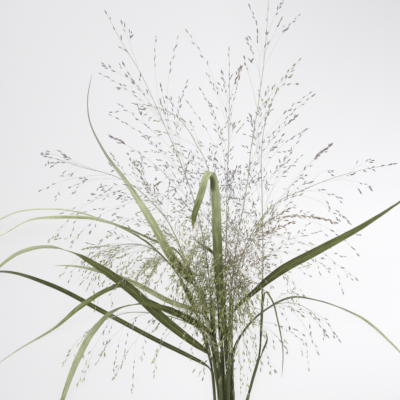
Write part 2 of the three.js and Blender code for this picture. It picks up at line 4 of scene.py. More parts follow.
import bpy
import mathutils
import numpy as np
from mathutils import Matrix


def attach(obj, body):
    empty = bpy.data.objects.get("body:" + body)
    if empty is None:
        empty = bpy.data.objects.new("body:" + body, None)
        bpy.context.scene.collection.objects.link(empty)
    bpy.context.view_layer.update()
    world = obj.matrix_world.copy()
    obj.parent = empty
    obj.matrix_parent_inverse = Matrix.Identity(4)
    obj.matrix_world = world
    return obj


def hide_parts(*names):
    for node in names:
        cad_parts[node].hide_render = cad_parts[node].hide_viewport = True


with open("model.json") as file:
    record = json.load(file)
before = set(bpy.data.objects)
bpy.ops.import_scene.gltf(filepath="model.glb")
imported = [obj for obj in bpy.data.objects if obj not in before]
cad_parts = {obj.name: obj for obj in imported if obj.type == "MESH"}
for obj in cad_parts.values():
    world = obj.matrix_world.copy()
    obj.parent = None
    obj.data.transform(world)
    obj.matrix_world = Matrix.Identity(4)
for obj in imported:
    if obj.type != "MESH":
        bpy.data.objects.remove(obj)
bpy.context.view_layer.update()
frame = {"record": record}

bl_info = {
    "name": "Switchgrass Bunch",
    "version": (1, 0, 0),
    "blender": (4, 5, 0),
    "location": "3D View > Sidebar > Switchgrass",
    "description": "Builds a cut bunch of switchgrass lying on a pale surface",
    "category": "Add Mesh",
}

# The bunch is drawn in millimetres and made in metres. SHIFT takes the drawing's origin under its middle.
METRE = 0.001
SHIFT = np.array([38.467, -144.993, 0.0])
UP = np.array([0.0, 0.0, 1.0])

# The forms that the solids have, which the finer pieces keep.
CULM = {"butt": 1.75, "neck": 1.0, "step": 40}
KNOT = {"below_sheath": 3.4, "lowest": -115}
BLADE = {"thickness": 0.7, "curl": 24, "step": 25, "across": 3}
SHEATH = {"length": 36, "gap": 0.35, "curl": 180, "lip": 4, "lip_curl": 120, "lip_lift": 0.9}
RACHIS = {"base": 0.9, "step": 34, "seam": 0.5}
BRANCH = {
    "knees": (0.22, 0.5), "lowest": 0.05, "highest": 0.8, "crowding": 1.25, "angle": 27, "angle_spread": 26,
    "closing": 0.55, "flatten": 0.62, "turn": 2.4, "turn_spread": 2.2, "retry_turn": 0.7, "shortest": 30,
    "shorter_at_tip": 0.62, "least": 0.75, "length_spread": 0.4, "shrunk": 0.65,
}
TWIG = {
    "count": 2, "first": 0.36, "spacing": 0.3, "angle": 36, "turn_spread": 2, "shortest": 17, "share": 0.3,
    "length_spread": 0.5,
}
SPIKELET = {
    "length": 4.6, "pitch": 6.4, "radius": 1, "widest": 0.45, "sway": 0.9, "on_branch": 2, "on_twig": 2,
}
SAG = {"down": 0.5, "back": 0.75}
CLEARANCE = 0.55  # the least gap between a branch and what it keeps clear of
NEARBY = 3  # how far round a branch the others are looked at
TRIES = 14  # how often a branch is tried
SEED = {"panicle": 10007, "branch": 101, "attempt": 7919, "fine_head": 7727}
FLOOR_EASE = 12  # the height below which places are eased down to lie on the surface
LOWEST = 1  # the height at which they lie there
FINE_STEP = 4  # how far apart the places of a stem are where a sheath follows it
FULL_TURN = 2 * math.pi

# Each culm: its stem and its head's axis as places [x, y, z], how many branches the head has, how far they
# reach and how much they droop, then its leaves. A leaf's collar is the place along Y where the blade leaves
# the culm, sheath is the length of its sheath where it isn't the usual one, turn is the side that the back of
# the sheath faces, in degrees, and the blade's rows are [x, y, z, width, roll], with a roll of 0 face up.
CULMS = [{
    "stem": [
        [-10.3, -215, 1.52], [-10.5, -150, 2], [-12, -40, 4.2], [-12.8, 2, 4.6], [-16.4, 37, 5.4],
        [-20.7, 59, 8.5], [-27.4, 84, 14], [-36.9, 110, 22], [-47.6, 135, 31], [-58.9, 156, 39],
        [-68.9, 170, 42],
    ],
    "head": [
        [-81, 182, 44.5], [-98, 192, 45], [-117, 195, 43.5], [-137, 192, 39], [-157, 184, 32],
        [-176, 173, 24],
    ],
    "branches": 7, "reach": 92, "droop": 0.8, "leaves": [
        {"collar": 30, "turn": 90, "blade": [
            [-28, 42, 5.5, 5, 45], [-43, 50, 3.5, 5.4, 15], [-82, 69, 0.35, 6, 0], [-150, 105, 0.35, 6.2, 0],
            [-225, 143, 0.35, 5.6, 0], [-274, 158, 0.35, 3.2, 0], [-317, 158, 0.35, 1, 0],
        ]},
        {"collar": 80, "turn": 120, "blade": [
            [-37, 92, 20, 5, 60], [-69, 109, 28.5, 7, 14], [-111, 130, 32.5, 7, 0],
            [-132, 143, 32.5, 6.4, -20], [-146, 138, 30, 5.8, -22], [-183, 115, 18, 6.5, -6],
            [-215, 88, 4.6, 3.4, 0], [-263, 59, 0.4, 1.3, 0], [-294, 38, 0.35, 1, 0],
        ]},
        {"collar": 140, "turn": 150, "blade": [
            [-56.5, 152, 43.5, 6, 110], [-68, 168, 50, 5.5, 85], [-97, 196, 54, 7, 74],
            [-146, 222, 57, 7, 76], [-199, 237, 48, 5.8, 78], [-232, 238, 37, 5, 74],
            [-264, 234, 21.5, 3.8, 62], [-285, 225, 11, 2.8, 45], [-325, 198, 0.6, 1, 0],
        ]},
    ],
}, {
    "stem": [
        [-4.1, -215, 5.2], [-4.2, -150, 5.6], [-6.9, -40, 10.8], [-7.6, 2, 12], [-14.2, 52, 18],
        [-18.6, 79, 23], [-24.3, 109, 29.5], [-35.6, 143, 41.5], [-48.1, 171, 47], [-53.8, 185, 49.5],
    ],
    "head": [
        [-60, 201, 53], [-72, 224, 57], [-90, 246, 60], [-112, 266, 60], [-141, 281, 57], [-175, 290, 51],
        [-204, 299, 44], [-227, 306, 38],
    ],
    "branches": 8, "reach": 100, "droop": 0.35, "leaves": [
        {"collar": 46, "turn": 100, "blade": [
            [-25, 59, 22, 7, 45], [-37, 68, 28, 9.5, 25], [-74, 98, 41, 12, 5], [-121, 141, 54.5, 12, 2],
            [-160, 168, 59, 9, 28], [-190, 184, 56, 7, 77], [-219, 191, 48, 6, 130],
            [-255, 185, 32.5, 5.4, 157], [-292, 160, 10, 2.8, 172], [-306, 147, 3, 1, 180],
        ]},
        {"collar": 100, "turn": 110, "blade": [
            [-38, 111, 35.5, 5.5, 40], [-66, 121, 37, 6.6, 5], [-112, 145, 41.6, 6.4, 0],
            [-158, 161, 40, 4.8, 0], [-192, 167, 32, 2, 10], [-216, 167, 25, 1, 0],
        ]},
        {"collar": 138, "sheath": 26, "turn": 120, "blade": [
            [-45, 150, 47.5, 8, 40], [-65, 176, 59, 11, 15], [-91, 223, 69.5, 9.5, 3],
            [-122, 272, 76, 5.5, 0], [-151, 312, 76, 2.7, 8], [-169, 352, 69, 1.5, 10],
            [-171, 372, 65, 1.2, 0], [-166, 408, 57, 0.9, 0],
        ]},
        {"collar": 172, "sheath": 18, "turn": 100, "blade": [
            [-60, 185, 51, 5, 70], [-81, 195, 49, 5.6, 65], [-124, 214, 46, 6, 68],
            [-164, 226, 42.5, 5.7, 50], [-210, 228, 33, 4.5, 26], [-244, 225, 22, 3.8, 60],
            [-286, 204, 6.2, 2.3, 58], [-322, 190, 0.6, 1, 0],
        ]},
    ],
}, {
    "stem": [
        [-2, -215, 8.8], [-2.1, -150, 9.4], [-3.8, -40, 17.6], [-4.3, 3, 19], [-9.4, 52, 25], [-13, 77, 29.5],
        [-14.9, 97, 33.5], [-17.1, 125, 41],
    ],
    "head": [
        [-22.5, 173, 55.5], [-26.9, 200, 62], [-39, 251, 73], [-52, 288, 81], [-68, 326, 88], [-85, 365, 94],
        [-105, 407, 99], [-127, 443, 103], [-145, 477, 105],
    ],
    "branches": 10, "reach": 128, "droop": 0.12, "leaves": [
        {"collar": 72, "turn": 110, "blade": [
            [-22, 85, 36, 7, 50], [-45, 100, 47, 9.5, 20], [-76, 115, 57.3, 8.4, 38], [-108, 120, 59, 7, 80],
            [-137, 112, 54.2, 7, 122], [-163, 88, 42.5, 8.6, 155], [-187, 46, 22.5, 8.2, 168],
            [-209, -12, 4.6, 5, 178], [-223, -54, 0.5, 1, 180],
        ]},
    ],
}, {
    "stem": [
        [-2, -215, 1.52], [-2.1, -150, 2], [-2.2, -40, 4.2], [-1.7, 2, 4.8], [-3.9, 60, 11], [-5.9, 98, 18],
        [-7.8, 130, 26], [-10.6, 178, 43], [-11.2, 197, 49],
    ],
    "head": [
        [-13, 223, 55], [-16, 250, 60], [-19, 280, 64], [-25, 300, 66], [-34, 316, 67.5], [-46, 337, 68.5],
        [-61, 354, 67.5], [-87, 366, 64.5], [-112, 370, 61],
    ],
    "branches": 8, "reach": 105, "droop": 0.3, "leaves": [
        {"collar": 172, "turn": 90, "blade": [
            [-18, 186, 47, 5, 45], [-25, 191, 50, 4, 20], [-37, 200, 52, 2, 0], [-42, 206, 51, 1, 0],
        ]},
    ],
}, {
    "stem": [
        [0, -215, 5.2], [0, -150, 5.6], [1.4, -40, 10.8], [2.4, 2, 12], [2, 54, 19.5], [1.3, 76, 24],
        [0.5, 105, 31],
    ],
    "head": [
        [0.2, 131, 37.5], [0.4, 162, 45], [1.2, 194, 51], [1.9, 231, 57.5], [2.8, 275, 63], [4.3, 324, 69],
        [5, 374, 74], [4.6, 434, 79],
    ],
    "branches": 9, "reach": 122, "droop": 0.15, "leaves": [
        {"collar": 76, "turn": 180, "blade": [
            [-1, 91, 35, 8, 180], [-6, 132, 58.5, 11.2, 180], [-10, 201, 92, 12, 180],
            [-13, 259, 114, 11.2, 180], [-16, 279, 124, 10, 150], [-18.5, 284, 129.5, 9.6, 90],
            [-21.5, 281, 133, 9.2, 30], [-30, 257, 126.5, 7.9, 0], [-39, 226, 109, 4.5, 0],
            [-40, 210, 101, 1, 0],
        ]},
    ],
}, {
    "stem": [
        [2.1, -215, 8.8], [2.2, -150, 9.4], [4.2, -40, 17.6], [4.8, 3, 19.2], [5.8, 61, 27.5], [6, 99, 36],
        [6.8, 125, 41],
    ],
    "head": [
        [12.5, 178, 52], [16, 204, 57], [23, 244, 64], [28, 275, 69], [31, 306, 73.5], [41, 371, 83],
        [46, 408, 88], [51, 465, 95], [53, 505, 99],
    ],
    "branches": 10, "reach": 124, "droop": 0.12, "leaves": [
        {"collar": 99, "turn": -110, "blade": [
            [14, 113, 43, 6, -60], [35, 134, 58, 7.5, -38], [68, 162, 75.5, 11.2, -10],
            [114, 188, 87.5, 10.2, 0], [166, 216, 86.5, 6.7, -12], [202, 238, 76.5, 4.4, -42],
            [248, 269, 56, 1, -50],
        ]},
    ],
}, {
    "stem": [
        [6.3, -215, 1.52], [6.6, -150, 2], [14.5, -60, 3.6], [28.8, -5, 5.2], [35.5, 21, 6.3],
        [43.5, 50, 8.2], [46.6, 91, 12], [47.8, 135, 18], [47.9, 154, 22.5],
    ],
    "head": [
        [48.2, 177, 27.5], [47.5, 212, 34], [46.5, 262, 41.5], [45.5, 306, 47.5], [48, 335, 51],
        [54, 360, 54], [63.5, 385, 56],
    ],
    "branches": 8, "reach": 105, "droop": 0.25, "leaves": [
        {"collar": 46, "turn": -110, "blade": [
            [49, 59, 13, 4, -60], [54, 74, 16, 2.6, -30], [51, 88, 17, 0.9, -20],
        ]},
        {"collar": 118, "turn": -130, "blade": [
            [52, 134, 25, 3.4, -80], [59, 124, 32.3, 3.1, -48], [67, 96, 30.5, 2.4, -40],
            [74, 56, 14.5, 1.5, -35], [73, 23, 0.5, 0.9, 0],
        ]},
    ],
}, {
    "stem": [
        [2.1, -215, 1.52], [2.2, -150, 2], [5.8, -40, 4.2], [8, 2, 4.8], [9.2, 60, 12], [9.5, 92, 18.5],
        [10.4, 124, 27],
    ],
    "head": [
        [17.7, 167, 40], [25, 189, 45.5], [36, 212, 50.5], [51, 235, 54], [71, 251, 56], [96, 262, 56],
        [125, 274, 53.5], [169, 287, 47], [211, 295, 39],
    ],
    "branches": 9, "reach": 105, "droop": 0.4, "leaves": [],
}, {
    "stem": [
        [4.2, -215, 5.2], [4.4, -150, 5.6], [9.2, -40, 10.8], [11.1, 2, 12], [10.1, 55, 19], [14.3, 69, 21.5],
        [19.9, 79, 23],
    ],
    "head": [
        [28, 91, 25], [39, 102, 26.5], [53, 113, 26.5], [68, 119, 25], [84, 120, 22], [98, 116, 18],
        [110, 108, 14], [119, 98, 10],
    ],
    "branches": 6, "reach": 88, "droop": 0.8, "leaves": [
        {"collar": 52, "turn": -125, "blade": [
            [16, 68, 27.5, 5, -80], [28, 90, 37, 5, -60], [57, 116, 43.2, 5.6, -58], [80, 127, 43, 5.4, -50],
            [122, 122, 34, 4.5, -66], [152, 111, 24.5, 4.4, -62], [174, 100, 16.5, 4.6, -50],
            [213, 67, 3.8, 3.2, -45], [239, 40, 0.6, 1, 0],
        ]},
    ],
}, {
    "stem": [
        [-6.1, -215, 1.52], [-6.2, -150, 2], [-6.6, -40, 2], [-7.5, 2, 1.9], [-10.5, 40, 2], [-15, 62, 2.5],
        [-24, 78, 3], [-38, 90, 4],
    ],
    "head": [[-60, 99, 8], [-90, 106, 12], [-122, 107, 12], [-150, 98, 10], [-172, 84, 7], [-186, 66, 4]],
    "branches": 7, "reach": 84, "droop": 1.1, "leaves": [],
}]

# How each leaf is coloured, from 0, darkest, to 1, palest, at the shares of its blade that TONE_PLACES gives,
# then its share of straw.
TONE_PLACES = (0, 0.2, 0.4, 0.58, 0.7, 1)
LEAF_TONES = {
    "1a": (0.15, 0.0, 0.18, 0.04, 0.0, 0.42, 0.05), "1b": (0.15, 0.2, 0.38, 0.55, 0.7, 0.95, 0.1),
    "1c": (0.1, 0.3, 0.8, 0.95, 1.0, 1.0, 0.15), "2a": (0.15, 0.22, 0.15, 0.25, 1.0, 1.0, 0.25),
    "2b": (0.3, 0.7, 0.8, 0.75, 0.8, 0.8, 0.2), "2c": (-0.35, 0.72, 0.85, 0.85, 0.8, 0.5, 0.0),
    "2d": (0.15, 0.33, 0.85, 0.95, 1.0, 1.0, 0.2), "3a": (0.05, 0.05, 0.46, 1.0, 0.9, 0.6, 0.15),
    "4a": (0.0, 0.0, 0.0, 0.0, 0.0, 0.05, 0.0), "5a": (0.0, 0.1, 0.3, 0.76, 0.9, 0.22, 0.1),
    "6a": (0.05, 0.08, 0.2, 0.32, 0.25, 0.4, 0.1), "7a": (0.15, 0.2, 0.2, 0.3, 0.35, 0.4, 0.2),
    "7b": (0.3, 0.3, 0.35, 0.4, 0.45, 0.5, 0.2), "9a": (0.05, 0.08, 0.3, 0.62, 0.9, 0.85, 0.15),
}

# Blades that turn a dusky grey: at which shares of the blade, and how much at each.
DUSKY = {
    "1a": ((0.75, 1), (0, 0.4)), "6a": ((0.7, 0.95), (0, 0.25)), "2c": ((0.4, 0.78), (0, 1)),
    "9a": ((0.1, 0.3, 0.55, 0.85), (0, 0.4, 0.4, 0)), "7b": ((0.5, 0.9), (0, 1)),
}
# Blades with a painted shadow where they fold over: from and to which share of the blade, and on which side.
FOLD_SHADOWS = {"5a": (0.635, 0.71, 1)}

# The finer growth of each flower head: extra branches, low ones that hang over the culms, how far apart the
# twigs are, and how ripe the spikelets are, from 0, straw and green, to 1, purple brown.
GROWTH = [
    {"extra": 5, "low": 0, "open": 1.3, "ripe": 0.4}, {"extra": 5, "low": 0, "open": 1.35, "ripe": 0.36},
    {"extra": 9, "low": 12, "open": 1.05, "ripe": 0.5}, {"extra": 14, "low": 14, "open": 1.0, "ripe": 0.3},
    {"extra": 9, "low": 18, "open": 1.15, "ripe": 0.3}, {"extra": 7, "low": 12, "open": 1.2, "ripe": 0.42},
    {"extra": 8, "low": 4, "open": 1.1, "ripe": 0.5}, {"extra": 10, "low": 8, "open": 1.05, "ripe": 0.6},
    {"extra": 3, "low": 3, "open": 1.9, "ripe": 0.75}, {"extra": 2, "low": 0, "open": 2.2, "ripe": 0.55},
]

# Branches whose tips are given, by flower head: the share of its axis where one starts, and its tip.
SPRAYS = {
    1: (
        (0.6, -170, 196, 58), (0.3, -130, 160, 52), (0.1, -100, 170, 50), (0.15, -118, 215, 62),
        (0.2, -132, 178, 44), (0.05, -96, 206, 60), (0.3, -140, 208, 56), (0.35, -150, 170, 40),
    ),
    2: (
        (0.6, -231, 262, 40), (0.45, -212, 205, 36), (0.35, -192, 193, 44), (0.25, -155, 198, 56),
        (0.7, -206, 310, 52), (0.15, -95, 268, 66), (0.2, -118, 292, 60), (0.3, -104, 300, 72),
        (0.4, -140, 305, 64), (0.1, -84, 262, 70), (0.25, -130, 255, 50), (0.3, -150, 262, 46),
    ),
    3: (
        (0.56, -59, 446, 112), (0.62, -85, 447, 118), (0.6, -152, 404, 100), (0.42, -140, 354, 84),
        (0.3, -140, 327, 76), (0.02, -25, 70, 60), (0.05, -38, 100, 70), (0.02, -30, 88, 56),
        (0.03, -12, 92, 80), (0.04, -44, 118, 74), (0.06, -24, 140, 88), (0.02, -20, 62, 52),
        (0.4, -66, 372, 100), (0.5, -48, 392, 108), (0.45, -79, 388, 96), (0.42, -58, 356, 92),
    ),
    4: (
        (0.05, -20, 120, 92), (0.02, -34, 84, 66), (0.1, -46, 132, 84), (0.3, -70, 262, 60),
        (0.4, -96, 310, 66), (0.15, -88, 214, 68), (0.1, -72, 190, 66), (0.2, -104, 236, 66),
    ),
    5: (
        (0.72, -46, 456, 84), (0.6, -30, 385, 86), (0.68, -22, 405, 70), (0.7, 20, 412, 88),
        (0.52, -20, 368, 92), (0.03, -12, 88, 76), (0.05, 5, 75, 66), (0.08, 12, 110, 84),
        (0.1, -4, 136, 112), (0.02, -20, 96, 60), (0.02, -8, 70, 58), (0.04, -28, 112, 72), (0.06, 2, 98, 84),
        (0.1, -30, 150, 96), (0.01, 6, 62, 54), (0.5, -45, 368, 96),
    ),
    6: (
        (0.78, 30, 485, 108), (0.7, 26, 446, 98), (0.75, 89, 475, 104), (0.84, 70, 494, 98),
        (0.5, 90, 421, 92), (0.42, 106, 377, 84), (0.02, 20, 10, 34), (0.04, 39, 50, 38), (0.05, 20, 85, 62),
        (0.1, 28, 125, 76), (0.02, -6, 104, 88), (0.03, 8, 84, 74), (0.45, 103, 381, 86), (0.38, 72, 344, 84),
    ),
    7: ((0.55, 100, 337, 70), (0.2, 129, 316, 66), (0.35, 94, 304, 58), (0.3, 98, 335, 72)),
    8: (
        (0.55, 155, 222, 50), (0.3, 158, 152, 46), (0.2, 130, 165, 40), (0.4, 160, 190, 60),
        (0.05, 34, 95, 52), (0.1, 46, 120, 60), (0.02, 14, 90, 56),
    ),
    9: ((0.1, 58, 33, 22),),
}

# Thick plumes, where the spikelets crowd close along a branch, by flower head: the share of its axis where
# the branch starts, its tip, how ripe and how rosy it is, and the share of it where the spikelets begin.
PLUMES = {
    1: ((0.4, -159, 180, 46, 0.15, 0.0, 0.35), (0.35, -177, 188, 40, 0.2, 0.0, 0.5)),
    2: (
        (0.2, -112, 296, 66, 0.2, 0.0, 0.5), (0.02, -61, 164, 80, 0.25, 0.0, 0.3),
        (0.05, -49, 173, 78, 0.15, 0.0, 0.25), (0.02, -71, 173, 76, 0.35, 0.0, 0.2),
    ),
    3: (
        (0.3, -141, 329, 76, 0.6, 0.5, 0.84), (0.01, -4, 149, 92, 0.1, 0.0, 0.2),
        (0.03, -14, 162, 98, 0.25, 0.0, 0.3), (0.02, 3, 167, 96, 0.15, 0.0, 0.25),
        (0.08, -25, 174, 90, 0.35, 0.0, 0.2), (0.05, -8, 182, 104, 0.1, 0.0, 0.3),
        (0.01, -19, 142, 84, 0.25, 0.0, 0.25), (0.04, -34, 151, 84, 0.15, 0.0, 0.2),
        (0.01, 0, 129, 84, 0.35, 0.0, 0.3), (0.03, -44, 136, 78, 0.15, 0.0, 0.3),
        (0.06, -51, 156, 84, 0.35, 0.0, 0.25), (0.02, -39, 119, 70, 0.1, 0.0, 0.2),
        (0.02, -23, 144, 92, 0.6, 0.6, 0.5),
    ),
    4: (
        (0.4, -86, 268, 66, 0.6, 0.8, 0.86), (0.02, -31, 173, 70, 0.25, 0.0, 0.25),
        (0.06, -44, 178, 66, 0.15, 0.0, 0.2),
    ),
    5: (
        (0.8, 18, 412, 84, 0.6, 0.5, 0.5), (0.02, -24, 126, 74, 0.25, 0.0, 0.3),
        (0.01, -31, 111, 66, 0.15, 0.0, 0.25), (0.06, 16, 143, 70, 0.35, 0.0, 0.2),
        (0.02, 9, 113, 58, 0.1, 0.0, 0.3),
    ),
    6: (
        (0.05, -4, 174, 100, 0.1, 0.0, 0.25), (0.02, -15, 152, 96, 0.25, 0.0, 0.2),
        (0.01, -9, 137, 86, 0.15, 0.0, 0.3), (0.08, 1, 186, 104, 0.35, 0.0, 0.25),
        (0.06, 13, 174, 86, 0.1, 0.0, 0.2), (0.4, 86, 352, 84, 0.7, 0.3, 0.82),
        (0.03, -9, 124, 84, 0.6, 0.5, 0.3),
    ),
    7: ((0.22, 130, 318, 66, 0.6, 0.2, 0.8),),
    8: (
        (0.35, 137, 222, 60, 0.5, 0.9, 0.3), (0.18, 56, 242, 72, 0.2, 0.1, 0.35),
        (0.22, 84, 222, 70, 0.5, 1.0, 0.3), (0.25, 78, 238, 66, 0.5, 0.8, 0.3),
        (0.12, 44, 218, 74, 0.3, 0.3, 0.3), (0.02, 19, 126, 60, 0.35, 0.0, 0.3),
        (0.05, 26, 143, 66, 0.1, 0.0, 0.25), (0.01, 4, 103, 52, 0.25, 0.0, 0.2),
        (0.06, 31, 148, 72, 0.6, 0.8, 0.3),
    ),
}

# Young branches that crowd round the foot of a flower head: how many, which way they lean along X and Y, and
# how ripe they are.
TANGLE = {
    1: (14, -0.5, -0.8, 0.45), 2: (10, -0.4, -0.3, 0.45), 3: (15, -0.3, -0.2, 0.3), 4: (9, -0.4, -0.5, 0.35),
    5: (14, -0.2, 0.0, 0.25), 6: (7, 0.0, 0.0, 0.35), 8: (5, 0.2, 0.0, 0.4), 10: (7, 0.4, 0.5, 0.25),
}

# ---- lines and frames, in millimetres ----

def unit(vectors):
    """Vectors brought to a length of 1."""
    return vectors / np.maximum(np.linalg.norm(vectors, axis=-1, keepdims=True), 1e-12)


def random_stream(seed):
    """A repeatable stream of numbers from 0 to 1, the same as the solids' own, kept in 32 bits."""
    mask, stride = 0xFFFFFFFF, 0x6D2B79F5
    state = seed & mask

    def draw():
        nonlocal state
        state = (state + stride) & mask
        mixed = ((state ^ (state >> 15)) * (state | 1)) & mask
        mixed ^= (mixed + (((mixed ^ (mixed >> 7)) * (mixed | 61)) & mask)) & mask
        return ((mixed ^ (mixed >> 14)) & mask) / (mask + 1)
    return draw


def steps_of(places):
    """The lengths of the straight pieces of a line."""
    return np.linalg.norm(np.diff(places, axis=0), axis=1)


def travelled_along(places):
    """How far along a line each of its places is."""
    return np.concatenate([[0], np.cumsum(steps_of(places))])


def smooth_rows(rows, step, finer=1):
    """A smooth line through rows that start with a place; their other columns are blended straight."""
    width = max(len(row) for row in rows)
    rows = np.array([list(row) + [0] * (width - len(row)) for row in rows], float)
    gaps = steps_of(rows[:, :3])
    rises = np.diff(rows, axis=0) / gaps[:, None]
    slopes = np.vstack([rises[:1], rises[-1:]])
    if len(rows) > 2:
        ahead, behind = gaps[1:, None], gaps[:-1, None]
        inner = (rises[:-1] * ahead + rises[1:] * behind) / (ahead + behind)
        slopes = np.vstack([rises[:1], inner, rises[-1:]])
    out = [rows[:1]]
    for i, gap in enumerate(gaps):
        pieces = max(1, math.floor(gap / step + 0.5)) * finer
        t = (np.arange(1, pieces + 1) / pieces)[:, None]
        t2, t3 = t * t, t * t * t
        part = (rows[i] * (2 * t3 - 3 * t2 + 1) + slopes[i] * gap * (t3 - 2 * t2 + t)
                + rows[i + 1] * (3 * t2 - 2 * t3) + slopes[i + 1] * gap * (t3 - t2))
        straight = rows[i] + (rows[i + 1] - rows[i]) * t
        part[:, 3:] = straight[:, 3:]
        out.append(part)
    return np.vstack(out)


def tangents_of(places):
    """The direction of a line at each of its places."""
    ahead = np.vstack([places[1:], places[-1:]])
    behind = np.vstack([places[:1], places[:-1]])
    return unit(ahead - behind)


def rolled_frames(tangents, rolls):
    """The face and side directions across a line, turned by roll degrees from face up."""
    level = unit(UP - tangents * tangents[:, 2:3])
    across = np.cross(tangents, level)
    angles = np.radians(rolls)[:, None]
    faces = level * np.cos(angles) + across * np.sin(angles)
    return faces, np.cross(tangents, faces)


def at_y(places, y):
    """The point and the direction of a line where its Y coordinate passes a value."""
    i = max(1, int(np.argmax(places[:, 1] > y)))
    before, after = places[i - 1], places[i]
    t = (y - before[1]) / (after[1] - before[1])
    return before + (after - before) * t, unit(after - before)


def along(places, fraction):
    """The point a fraction of the way along a line, and the direction there."""
    lengths = steps_of(places)
    rest = fraction * lengths.sum()
    i = 0
    while i < len(lengths) - 1 and rest > lengths[i]:
        rest -= lengths[i]
        i += 1
    return places[i] + (places[i + 1] - places[i]) * rest / lengths[i], unit(places[i + 1] - places[i])


def leaning(direction, angle, turn):
    """A unit direction at an angle from a line, on the side given by the turn round it."""
    seed_axis = UP if abs(direction[2]) < 0.9 else np.array([1.0, 0.0, 0.0])
    u = unit(np.cross(seed_axis, direction))
    v = np.cross(direction, u)
    out = u * math.cos(turn) + v * math.sin(turn)
    return unit(direction * math.cos(angle) + out * math.sin(angle))


def flattened(way, share):
    """A direction with only a share of its rise."""
    return unit(way * np.array([1, 1, share]))


def laid(places):
    """Low places are eased down to lie on the surface instead of passing through it."""
    places = np.array(places, float)
    z = places[..., 2]
    eased = np.where(z < FLOOR_EASE, FLOOR_EASE * np.exp((z - FLOOR_EASE) / FLOOR_EASE), z)
    places[..., 2] = np.maximum(eased, LOWEST)
    return places


def sagging(origin, direction, length, droop, s):
    """Places at distances s along a branch that droops under its own weight."""
    s = np.asarray(s, float)
    places = origin + direction * s[..., None]
    sag = droop * s * s / length
    places[..., 1] -= SAG["back"] * sag
    places[..., 2] -= SAG["down"] * sag
    return laid(places)


def drooping(origin, direction, length, droop, count):
    """A branch that droops under its own weight, as a number of places spread evenly along it."""
    return sagging(origin, direction, length, droop, np.linspace(0, length, count))


# ---- the forms of the solids, which the finer pieces follow ----

def culm_radius(culm, y):
    """The radius of a culm where its Y coordinate is y: it tapers evenly to its neck."""
    low, high = culm["stem"][0][1], culm["stem"][-1][1]
    return CULM["butt"] + (CULM["neck"] - CULM["butt"]) * (y - low) / (high - low)


def sheath_stops(leaf):
    """Where a leaf's sheath has its foot, its middle and its collar along Y."""
    length = leaf.get("sheath", SHEATH["length"])
    return [leaf["collar"] - length, leaf["collar"] - length / 2, leaf["collar"]]


def leaf_rows(culm, leaf):
    """A leaf's rows [x, y, z, width, roll, curl]: the sheath's back along the culm, the lip, the blade."""
    fine = smooth_rows(culm["stem"], FINE_STEP)
    rows = []
    stops = [(y, 0, SHEATH["curl"]) for y in sheath_stops(leaf)]
    for y, lift, curl in stops + [(leaf["collar"] + SHEATH["lip"], SHEATH["lip_lift"], SHEATH["lip_curl"])]:
        point, tangent = at_y(fine, y)
        face, _ = rolled_frames(tangent[None], [leaf["turn"]])
        facets = math.cos(math.radians(SHEATH["curl"] / BLADE["across"] / 2))
        radius = (culm_radius(culm, y) + SHEATH["gap"]) / facets + BLADE["thickness"] / 2
        back = point - face[0] * (radius + lift)
        rows.append([*back, radius * math.radians(SHEATH["curl"]), leaf["turn"], curl])
    for row in leaf["blade"]:
        rows.append([*row, BLADE["curl"] if row[2] > 1 else 0])
    return rows


def lowest_middle(row, side):
    """The least height of a blade's middle that keeps its edges off the surface."""
    width, roll, curl = row[3:6]
    if curl > BLADE["curl"]:
        return 0
    reach = 0.5 * width * (abs(side[2]) + max(math.radians(curl), 1e-4) / 4)
    return BLADE["thickness"] / 2 + (0 if roll == 0 else reach)


def leaf_strands(culm, leaf):
    """The solid leaf as straight pieces, which branches keep clear of."""
    rows = smooth_rows(leaf_rows(culm, leaf), BLADE["step"])
    places = rows[:, :3].copy()
    faces, sides = rolled_frames(tangents_of(places), rows[:, 4])
    lines = []
    widest = max(row[3] for row in leaf["blade"])
    for i, row in enumerate(rows):
        places[i, 2] = max(places[i, 2], lowest_middle(row, sides[i]))
    bends = np.maximum(np.radians(rows[:, 5]), 1e-4)
    for k in range(BLADE["across"] + 1):
        angles = (k / BLADE["across"] - 0.5) * bends
        line = (places + sides * (rows[:, 3] * np.sin(angles) / bends)[:, None]
                + faces * (rows[:, 3] * (1 - np.cos(angles)) / bends)[:, None])
        lines.append(line)
    return [strands(line, BLADE["thickness"] / 2 + widest / BLADE["across"] / 2) for line in lines]


def strands(places, radius):
    """Straight pieces [start, end, radius] along a line."""
    return np.hstack([places[:-1], places[1:], np.full((len(places) - 1, 1), radius)])


def distances(p, q):
    """The shortest distances between every straight piece of p and every one of q."""
    a0, b0 = p[:, None, :3], q[None, :, :3]
    d1, d2 = p[:, None, 3:6] - a0, q[None, :, 3:6] - b0
    r = a0 - b0
    a, e, b = (d1 * d1).sum(-1), (d2 * d2).sum(-1), (d1 * d2).sum(-1)
    c, f = (d1 * r).sum(-1), (d2 * r).sum(-1)
    denominator = a * e - b * b
    safe = np.where(denominator > 1e-9, denominator, 1)
    s = np.where(denominator > 1e-9, np.clip((b * f - c * e) / safe, 0, 1), 0)
    t = (b * s + f) / e
    clipped = np.clip(t, 0, 1)
    s = np.where(t == clipped, s, np.clip((b * clipped - c) / a, 0, 1))
    gap = a0 + d1 * s[..., None] - b0 - d2 * clipped[..., None]
    return np.linalg.norm(gap, axis=-1)


def is_clear(pieces, others, clearance=CLEARANCE):
    """Whether every straight piece keeps the clearance from every one of the others."""
    low = np.minimum(pieces[:, :3], pieces[:, 3:6]).min(0) - NEARBY
    high = np.maximum(pieces[:, :3], pieces[:, 3:6]).max(0) + NEARBY
    radius = others[:, 6:7]
    near = ((np.minimum(others[:, :3], others[:, 3:6]) - radius < high)
            & (np.maximum(others[:, :3], others[:, 3:6]) + radius > low)).all(1)
    if not near.any():
        return True
    others = others[near]
    wanted = pieces[:, None, 6] + others[None, :, 6] + clearance
    return bool((distances(pieces, others) > wanted).all())


